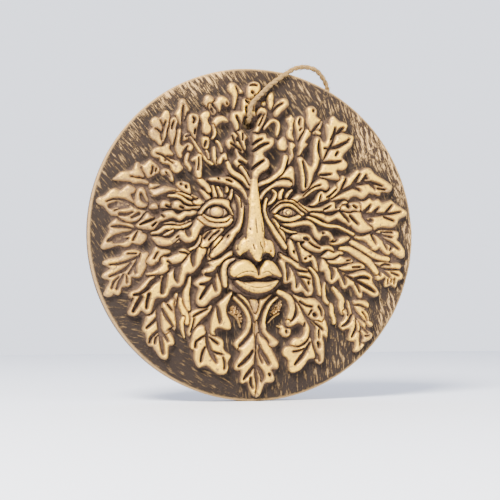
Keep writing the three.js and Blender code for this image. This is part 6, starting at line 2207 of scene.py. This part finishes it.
@dataclass(frozen=True)
class JuteLay:
    """How the twine is laid: plies that wind round each other, with loose fibres, in millimetres.

    The fibre_ numbers set the grain of its paint: how fine it is around and along a ply, and how far apart
    the plies' own grains are. The hair_ numbers set the loose fibres, and fray_gain how many more of them
    the frayed end has.
    """

    ply_radius: float = 0.98
    ply_offset: float = 0.54
    pitch: float = 8.5
    plies: int = 2
    sides: int = 14
    step: float = 0.45
    fibre_turn: float = 5.0
    fibre_around: float = 2.6
    fibre_along: float = 140.0
    fibre_shift: float = 9.0
    hairs: float = 0.55
    hair_length: float = 1.7
    hair_thickness: float = 0.026
    hair_tilt: float = 0.6
    hair_scale: Point = (0.35, 1.25)
    hair_seed: int = 11
    fray: float = 0.0
    fray_gain: float = 14.0

    def sizes(self) -> dict[str, float]:
        """Put the tree's inputs into metres.

        Returns:
            Each input by its name.
        """
        return {
            "Ply Radius": self.ply_radius * MM,
            "Ply Offset": self.ply_offset * MM,
            "Pitch": self.pitch * MM,
            "Step": self.step * MM,
            "Hair Length": self.hair_length * MM,
            "Hair Density": self.hairs / MM ** 2,
            "Fray": self.fray * MM,
        }

    def tree(self, finish: bpy.types.Material) -> tuple[bpy.types.NodeTree, dict[str, str]]:
        """Build the tree that winds the plies along a line and scatters fibres over them.

        Args:
            finish: The twine's material.

        Returns:
            The tree, and the identifier of each of its named inputs.
        """
        tree = bpy.data.node_groups.new("jute_twine", "GeometryNodeTree")
        bench = NodeBench(tree)
        face = tree.interface
        face.new_socket(name="Line", in_out="INPUT", socket_type="NodeSocketGeometry")
        names = {
            name: face.new_socket(name=name, in_out="INPUT", socket_type="NodeSocketFloat").identifier
            for name in self.sizes()
        }
        face.new_socket(name="Twine", in_out="OUTPUT", socket_type="NodeSocketGeometry")
        given = bench.add("NodeGroupInput").outputs
        curve = bench.add("GeometryNodeMeshToCurve", {}, given["Line"])
        middle = bench.add(
            "GeometryNodeResampleCurve", {"mode": "LENGTH"}, Curve=curve.outputs[0], Length=given["Step"],
        )
        plies = bench.add("GeometryNodeJoinGeometry")
        for ply in range(self.plies):
            tree.links.new(self.ply(bench, given, middle.outputs[0], ply), plies.inputs[0])
        whole = bench.add("GeometryNodeJoinGeometry")
        tree.links.new(plies.outputs[0], whole.inputs[0])
        tree.links.new(self.loose_fibres(bench, given, plies.outputs[0]), whole.inputs[0])
        real = bench.add("GeometryNodeRealizeInstances", {}, whole.outputs[0])
        coated = bench.add("GeometryNodeSetMaterial", {}, Geometry=real.outputs[0], Material=finish)
        bench.add("NodeGroupOutput", {}, coated.outputs[0])
        return tree, names

    def ply(
        self, bench: NodeBench, given: Any, middle: bpy.types.NodeSocket, number: int,
    ) -> bpy.types.NodeSocket:
        """Wind one ply round the middle line.

        Args:
            bench: The tree's bench.
            given: The tree's inputs.
            middle: The middle line.
            number: The ply's number, from 0.

        Returns:
            The ply's tube, whose points know where they are along and around it.
        """
        along = bench.value(bench.add("GeometryNodeSplineParameter"), "Length")
        normal = bench.add("GeometryNodeInputNormal").outputs[0]
        tangent = bench.add("GeometryNodeInputTangent").outputs[0]
        side = bench.add("ShaderNodeVectorMath", {"operation": "CROSS_PRODUCT"}, tangent, normal).outputs[0]
        angle = along / given["Pitch"] * math.tau + math.tau * number / self.plies
        reach = Value(bench, given["Ply Offset"])
        parts = [
            bench.add("ShaderNodeVectorMath", {"operation": "SCALE"}, way, Scale=share * reach)
            for way, share in ((normal, angle.math("COSINE", angle)), (side, angle.math("SINE", angle)))
        ]
        offset = bench.add("ShaderNodeVectorMath", {"operation": "ADD"}, *(part.outputs[0] for part in parts))
        wound = bench.add("GeometryNodeSetPosition", {}, Geometry=middle, Offset=offset.outputs[0])
        line = self.stored(bench, wound.outputs[0], "along", along)
        circle = bench.add(
            "GeometryNodeCurvePrimitiveCircle", {"mode": "RADIUS"}, Resolution=self.sides,
            Radius=given["Ply Radius"],
        )
        around = bench.value(bench.add("GeometryNodeSplineParameter"), "Factor")
        profile = self.stored(bench, circle.outputs[0], "around", around)
        tube = bench.add("GeometryNodeCurveToMesh", {}, Curve=line, Profile_Curve=profile, Fill_Caps=True)
        along, around = (
            bench.value(bench.add("GeometryNodeInputNamedAttribute", {"data_type": "FLOAT"}, name))
            for name in ("along", "around")
        )
        turned = around * math.tau + along * (math.tau / (self.fibre_turn * MM))
        place = bench.add(
            "ShaderNodeCombineXYZ", {}, turned.math("COSINE", turned) * self.fibre_around,
            turned.math("SINE", turned) * self.fibre_around,
            along * self.fibre_along + self.fibre_shift * number,
        )
        return self.stored(bench, tube.outputs[0], "fibre", place.outputs[0], "FLOAT_VECTOR")

    def stored(
        self, bench: NodeBench, geometry: bpy.types.NodeSocket, name: str, value: Any, kind: str = "FLOAT",
    ) -> bpy.types.NodeSocket:
        """Store a value at each point of a geometry.

        Args:
            bench: The tree's bench.
            geometry: The geometry.
            name: The name that it is stored under.
            value: The value.
            kind: The value's type.

        Returns:
            The geometry that holds it.
        """
        node = bench.add(
            "GeometryNodeStoreNamedAttribute", {"data_type": kind, "domain": "POINT"}, Geometry=geometry,
            Name=name, Value=value,
        )
        return node.outputs[0]

    def loose_fibres(self, bench: NodeBench, given: Any, plies: bpy.types.NodeSocket) -> bpy.types.NodeSocket:
        """Scatter short bent fibres over the plies, more of them over the frayed end.

        Args:
            bench: The tree's bench.
            given: The tree's inputs.
            plies: The plies.

        Returns:
            The fibres, as instances.
        """
        along = bench.value(bench.add("GeometryNodeInputNamedAttribute", {"data_type": "FLOAT"}, "along"))
        reach = bench.add("GeometryNodeAttributeStatistic", {}, Geometry=plies, Attribute=along)
        past = along - bench.value(reach, "Max") + Value(bench, given["Fray"])
        frayed = past.math("GREATER_THAN", past, 0.0)
        points = bench.add(
            "GeometryNodeDistributePointsOnFaces", {"distribute_method": "RANDOM"}, Mesh=plies,
            Density=(frayed * self.fray_gain + 1.0) * Value(bench, given["Hair Density"]),
            Seed=self.hair_seed,
        )
        bow = bench.add(
            "GeometryNodeCurvePrimitiveBezierSegment", {"mode": "POSITION"}, Resolution=4, Start=(0, 0, 0),
            Start_Handle=(0.1, 0, 0.35), End_Handle=(0.45, 0.1, 0.5), End=(1, 0.15, 0.45),
        )
        thin = bench.add(
            "GeometryNodeCurvePrimitiveCircle", {"mode": "RADIUS"}, Resolution=3, Radius=self.hair_thickness,
        )
        hair = bench.add(
            "GeometryNodeCurveToMesh", {}, Curve=bow.outputs[0], Profile_Curve=thin.outputs[0],
            Fill_Caps=True,
        )
        tilt = bench.add(
            "FunctionNodeRandomValue", {"data_type": "FLOAT_VECTOR"}, (-self.hair_tilt, -self.hair_tilt, 0),
            (self.hair_tilt, self.hair_tilt, math.tau),
        )
        turn = bench.add("FunctionNodeEulerToRotation", {}, tilt.outputs[0])
        turned = bench.add(
            "FunctionNodeRotateRotation", {"rotation_space": "LOCAL"}, points.outputs["Rotation"],
            turn.outputs[0],
        )
        share = bench.add("FunctionNodeRandomValue", {"data_type": "FLOAT"})
        share.inputs[2].default_value, share.inputs[3].default_value = self.hair_scale
        scale = Value(bench, share.outputs[1]) * Value(bench, given["Hair Length"]) * (frayed + 1.0)
        spread = bench.add(
            "GeometryNodeInstanceOnPoints", {}, Points=points.outputs["Points"], Instance=hair.outputs[0],
            Rotation=turned.outputs[0], Scale=scale,
        )
        return spread.outputs[0]

    def wound(self, line: Grid, finish: bpy.types.Material) -> bpy.types.Mesh:
        """Wind a twine along a line.

        Args:
            line: The middle line's points, in metres.
            finish: The twine's material.

        Returns:
            Its mesh.
        """
        guide = bpy.data.meshes.new("twine_line")
        guide.from_pydata(line.tolist(), [(i, i + 1) for i in range(len(line) - 1)], [])
        holder = bpy.data.objects.new("twine_line", guide)
        bpy.context.scene.collection.objects.link(holder)
        tree, names = self.tree(finish)
        winding = holder.modifiers.new("winding", "NODES")
        winding.node_group = tree
        for name, size in self.sizes().items():
            winding[names[name]] = size
        mesh = evaluated_mesh(holder)
        bpy.data.objects.remove(holder)
        return mesh


@dataclass
class HangingTwine:
    """The loop of jute twine that the plaque hangs by."""

    diameter: float = 3.0

    def route(self) -> Grid:
        """Return the middle line's points, in metres."""
        return curve_through(TWINE_ROUTE, steps=8) * MM

    def build(self, finish: bpy.types.Material) -> bpy.types.Object:
        """Build the twine.

        Args:
            finish: Its material.

        Returns:
            The finished piece.
        """
        piece = new_piece("hanging_twine_jute", JuteLay().wound(self.route(), finish), finish)
        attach(piece, "root")
        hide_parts("hanging_twine")
        return piece


@dataclass
class TwineKnot:
    """The knot behind the plaque, with two frayed tails and a thick stub that lies behind the hole."""

    left_tail: tuple[Place, ...] = (
        (-0.3, 3.9, 62.1), (0.4, 4.4, 61.4), (2.2, 5.1, 59.6), (3.5, 5.5, 57.8), (3.3, 5.4, 55.6),
        (1.2, 4.4, 52.4), (-0.4, 3.2, 47.6),
    )
    right_tail: tuple[Place, ...] = (
        (9.3, 4.0, 59.5), (8.6, 4.2, 59.2), (6.8, 5.1, 58.6), (5.4, 5.6, 57.4), (5.4, 5.4, 55.6),
        (7.4, 4.6, 52), (7, 3.4, 46.8),
    )
    stub: tuple[Place, ...] = (
        (4.6, 5.6, 59.4), (1.5, 5.4, 61.4), (-1.2, 4.8, 63.4), (-2.3, 3.9, 66.2), (-2.7, 3.4, 70.8),
    )
    centre: Place = (4.4, 5.6, 57.6)
    turns: float = 2.3
    turn_radius: float = 2.2
    turn_height: float = 3.6
    turn_points: int = 90
    turn_width: float = 1.25
    turn_tilt: float = 0.8
    tucked: float = 0.35
    tuck_share: float = 0.14

    def wrap(self) -> Grid:
        """Work out the middle line of the turns round the strands.

        Returns:
            Its points, in metres.
        """
        share = np.linspace(0, 1, self.turn_points)
        angle = math.tau * self.turns * share
        opened = smooth_step(0, self.tuck_share, share) * smooth_step(1, 1 - self.tuck_share, share)
        out = self.turn_radius * (self.tucked + (1 - self.tucked) * opened)
        x = self.centre[0] + self.turn_width * out * np.cos(angle)
        y = self.centre[1] + out * np.sin(angle)
        z = self.centre[2] + self.turn_height * (0.5 - share) + self.turn_tilt * np.cos(angle)
        return np.stack([x, y, z], -1) * MM

    def build(self, finish: bpy.types.Material) -> bpy.types.Object:
        """Build the knot.

        Args:
            finish: Its material.

        Returns:
            The finished piece.
        """
        tail = JuteLay(ply_radius=0.62, ply_offset=0.55, pitch=7.5, fray=3.0)
        thick = JuteLay(ply_radius=1.2, ply_offset=1.0, pitch=9.0, fray=5.0)
        turn = JuteLay(ply_radius=0.70, ply_offset=0.60, pitch=7.5)
        meshes = [
            lay.wound(curve_through(strand, steps=8) * MM, finish)
            for lay, strand in ((tail, self.left_tail), (tail, self.right_tail), (thick, self.stub))
        ]
        meshes.append(turn.wound(self.wrap(), finish))
        work = bmesh.new()
        for mesh in meshes:
            work.from_mesh(mesh)
        whole = bpy.data.meshes.new("twine_knot_jute")
        work.to_mesh(whole)
        work.free()
        piece = new_piece("twine_knot_jute", whole, finish)
        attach(piece, "root")
        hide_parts("twine_knot")
        return piece


@dataclass(frozen=True)
class SoftLight:
    """A square area light that points at the plaque: its name, place, side in metres, watts and colour."""

    name: str
    place: Place
    side: float
    power: float
    colour: Colour

    def hang(self) -> None:
        """Link the light to the scene."""
        data = bpy.data.lights.new(self.name, "AREA")
        data.size = self.side
        data.energy = self.power
        data.color = self.colour
        lamp = bpy.data.objects.new(self.name, data)
        lamp.location = self.place
        lamp.rotation_mode = "QUATERNION"
        lamp.rotation_quaternion = (-Vector(self.place)).to_track_quat("-Z", "Y")
        bpy.context.scene.collection.objects.link(lamp)


@dataclass
class Studio:
    """The camera at the photograph's angle, the pale floor and the soft lights, in metres."""

    aim: Place = (-0.0009, 0.0, -0.00935)
    azimuth: float = -13.45
    elevation: float = -3.0
    distance: float = 0.7
    lens: float = 82.94
    sensor: float = 36.0
    floor_height: float = PLAQUE_LOW.z
    floor_reach: float = 3.0
    floor_behind: float = 0.75
    backdrop: float = 2.75
    backdrop_span: Point = (-0.1, 0.6)
    front_air: float = 1.3
    air_colour: Colour = (0.66, 0.69, 0.78)
    lights: tuple[SoftLight, ...] = (
        SoftLight("key", (-0.55, -0.75, 0.85), 0.45, 62.0, (1.0, 0.94, 0.84)),
        SoftLight("fill", (0.9, -0.8, 0.25), 0.8, 9.0, (1.0, 0.95, 0.86)),
    )

    def camera(self) -> bpy.types.Object:
        """Set up the camera.

        Returns:
            The camera.
        """
        turn, lift = math.radians(self.azimuth), math.radians(self.elevation)
        back = Vector((math.sin(turn) * math.cos(lift), -math.cos(turn) * math.cos(lift), math.sin(lift)))
        data = bpy.data.cameras.new("camera")
        data.lens = self.lens
        data.sensor_width = self.sensor
        camera = bpy.data.objects.new("camera", data)
        camera.location = Vector(self.aim) + back * self.distance
        camera.rotation_mode = "QUATERNION"
        camera.rotation_quaternion = (-back).to_track_quat("-Z", "Y")
        bpy.context.scene.collection.objects.link(camera)
        bpy.context.scene.camera = camera
        return camera

    def floor(self) -> bpy.types.Object:
        """Lay the floor.

        Returns:
            The floor.
        """
        reach, behind = self.floor_reach, self.floor_behind
        edge = [(x, y, self.floor_height) for x, y in (
            (-reach, -reach), (reach, -reach), (reach, behind), (-reach, behind),
        )]
        mesh = bpy.data.meshes.new("floor")
        mesh.from_pydata(edge, [], [(0, 1, 2, 3)])
        floor = new_piece("floor", mesh, PaleFloor().material())
        return floor

    def air(self) -> None:
        """Light the whole scene softly from all round, most from the pale backdrop behind the piece."""
        world = bpy.data.worlds.new("studio_air")
        world.use_nodes = True
        bench = NodeBench(world.node_tree)
        way = bench.add("ShaderNodeTexCoord").outputs["Generated"]
        behind = bench.value(bench.add("ShaderNodeSeparateXYZ", {}, way), "Y").stepped(*self.backdrop_span)
        strength = self.front_air + (self.backdrop - self.front_air) * behind
        shade = bench.add("ShaderNodeBackground", {}, Color=self.air_colour, Strength=strength)
        bench.add("ShaderNodeOutputWorld", {}, shade.outputs[0])
        bpy.context.scene.world = world

    def build(self) -> None:
        """Build the lights, the air and the floor."""
        for light in self.lights:
            light.hang()
        self.air()
        self.floor()


def main() -> None:
    """Build the plaque's looks in order and report each piece."""
    logging.basicConfig(level=logging.INFO, format="%(name)s: %(message)s")
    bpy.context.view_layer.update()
    studio = Studio()
    studio.camera()
    jute = JuteTwine().material()
    twine = HangingTwine()
    strand = twine.build(jute)
    knot = TwineKnot().build(jute)
    plaque = CastPlaque().build(BronzedTerracotta())
    for piece in (strand, knot, plaque):
        log.info("%s has %d triangles", piece.name, triangles_in(piece))
    studio.build()


if __name__ == "__main__":
    main()
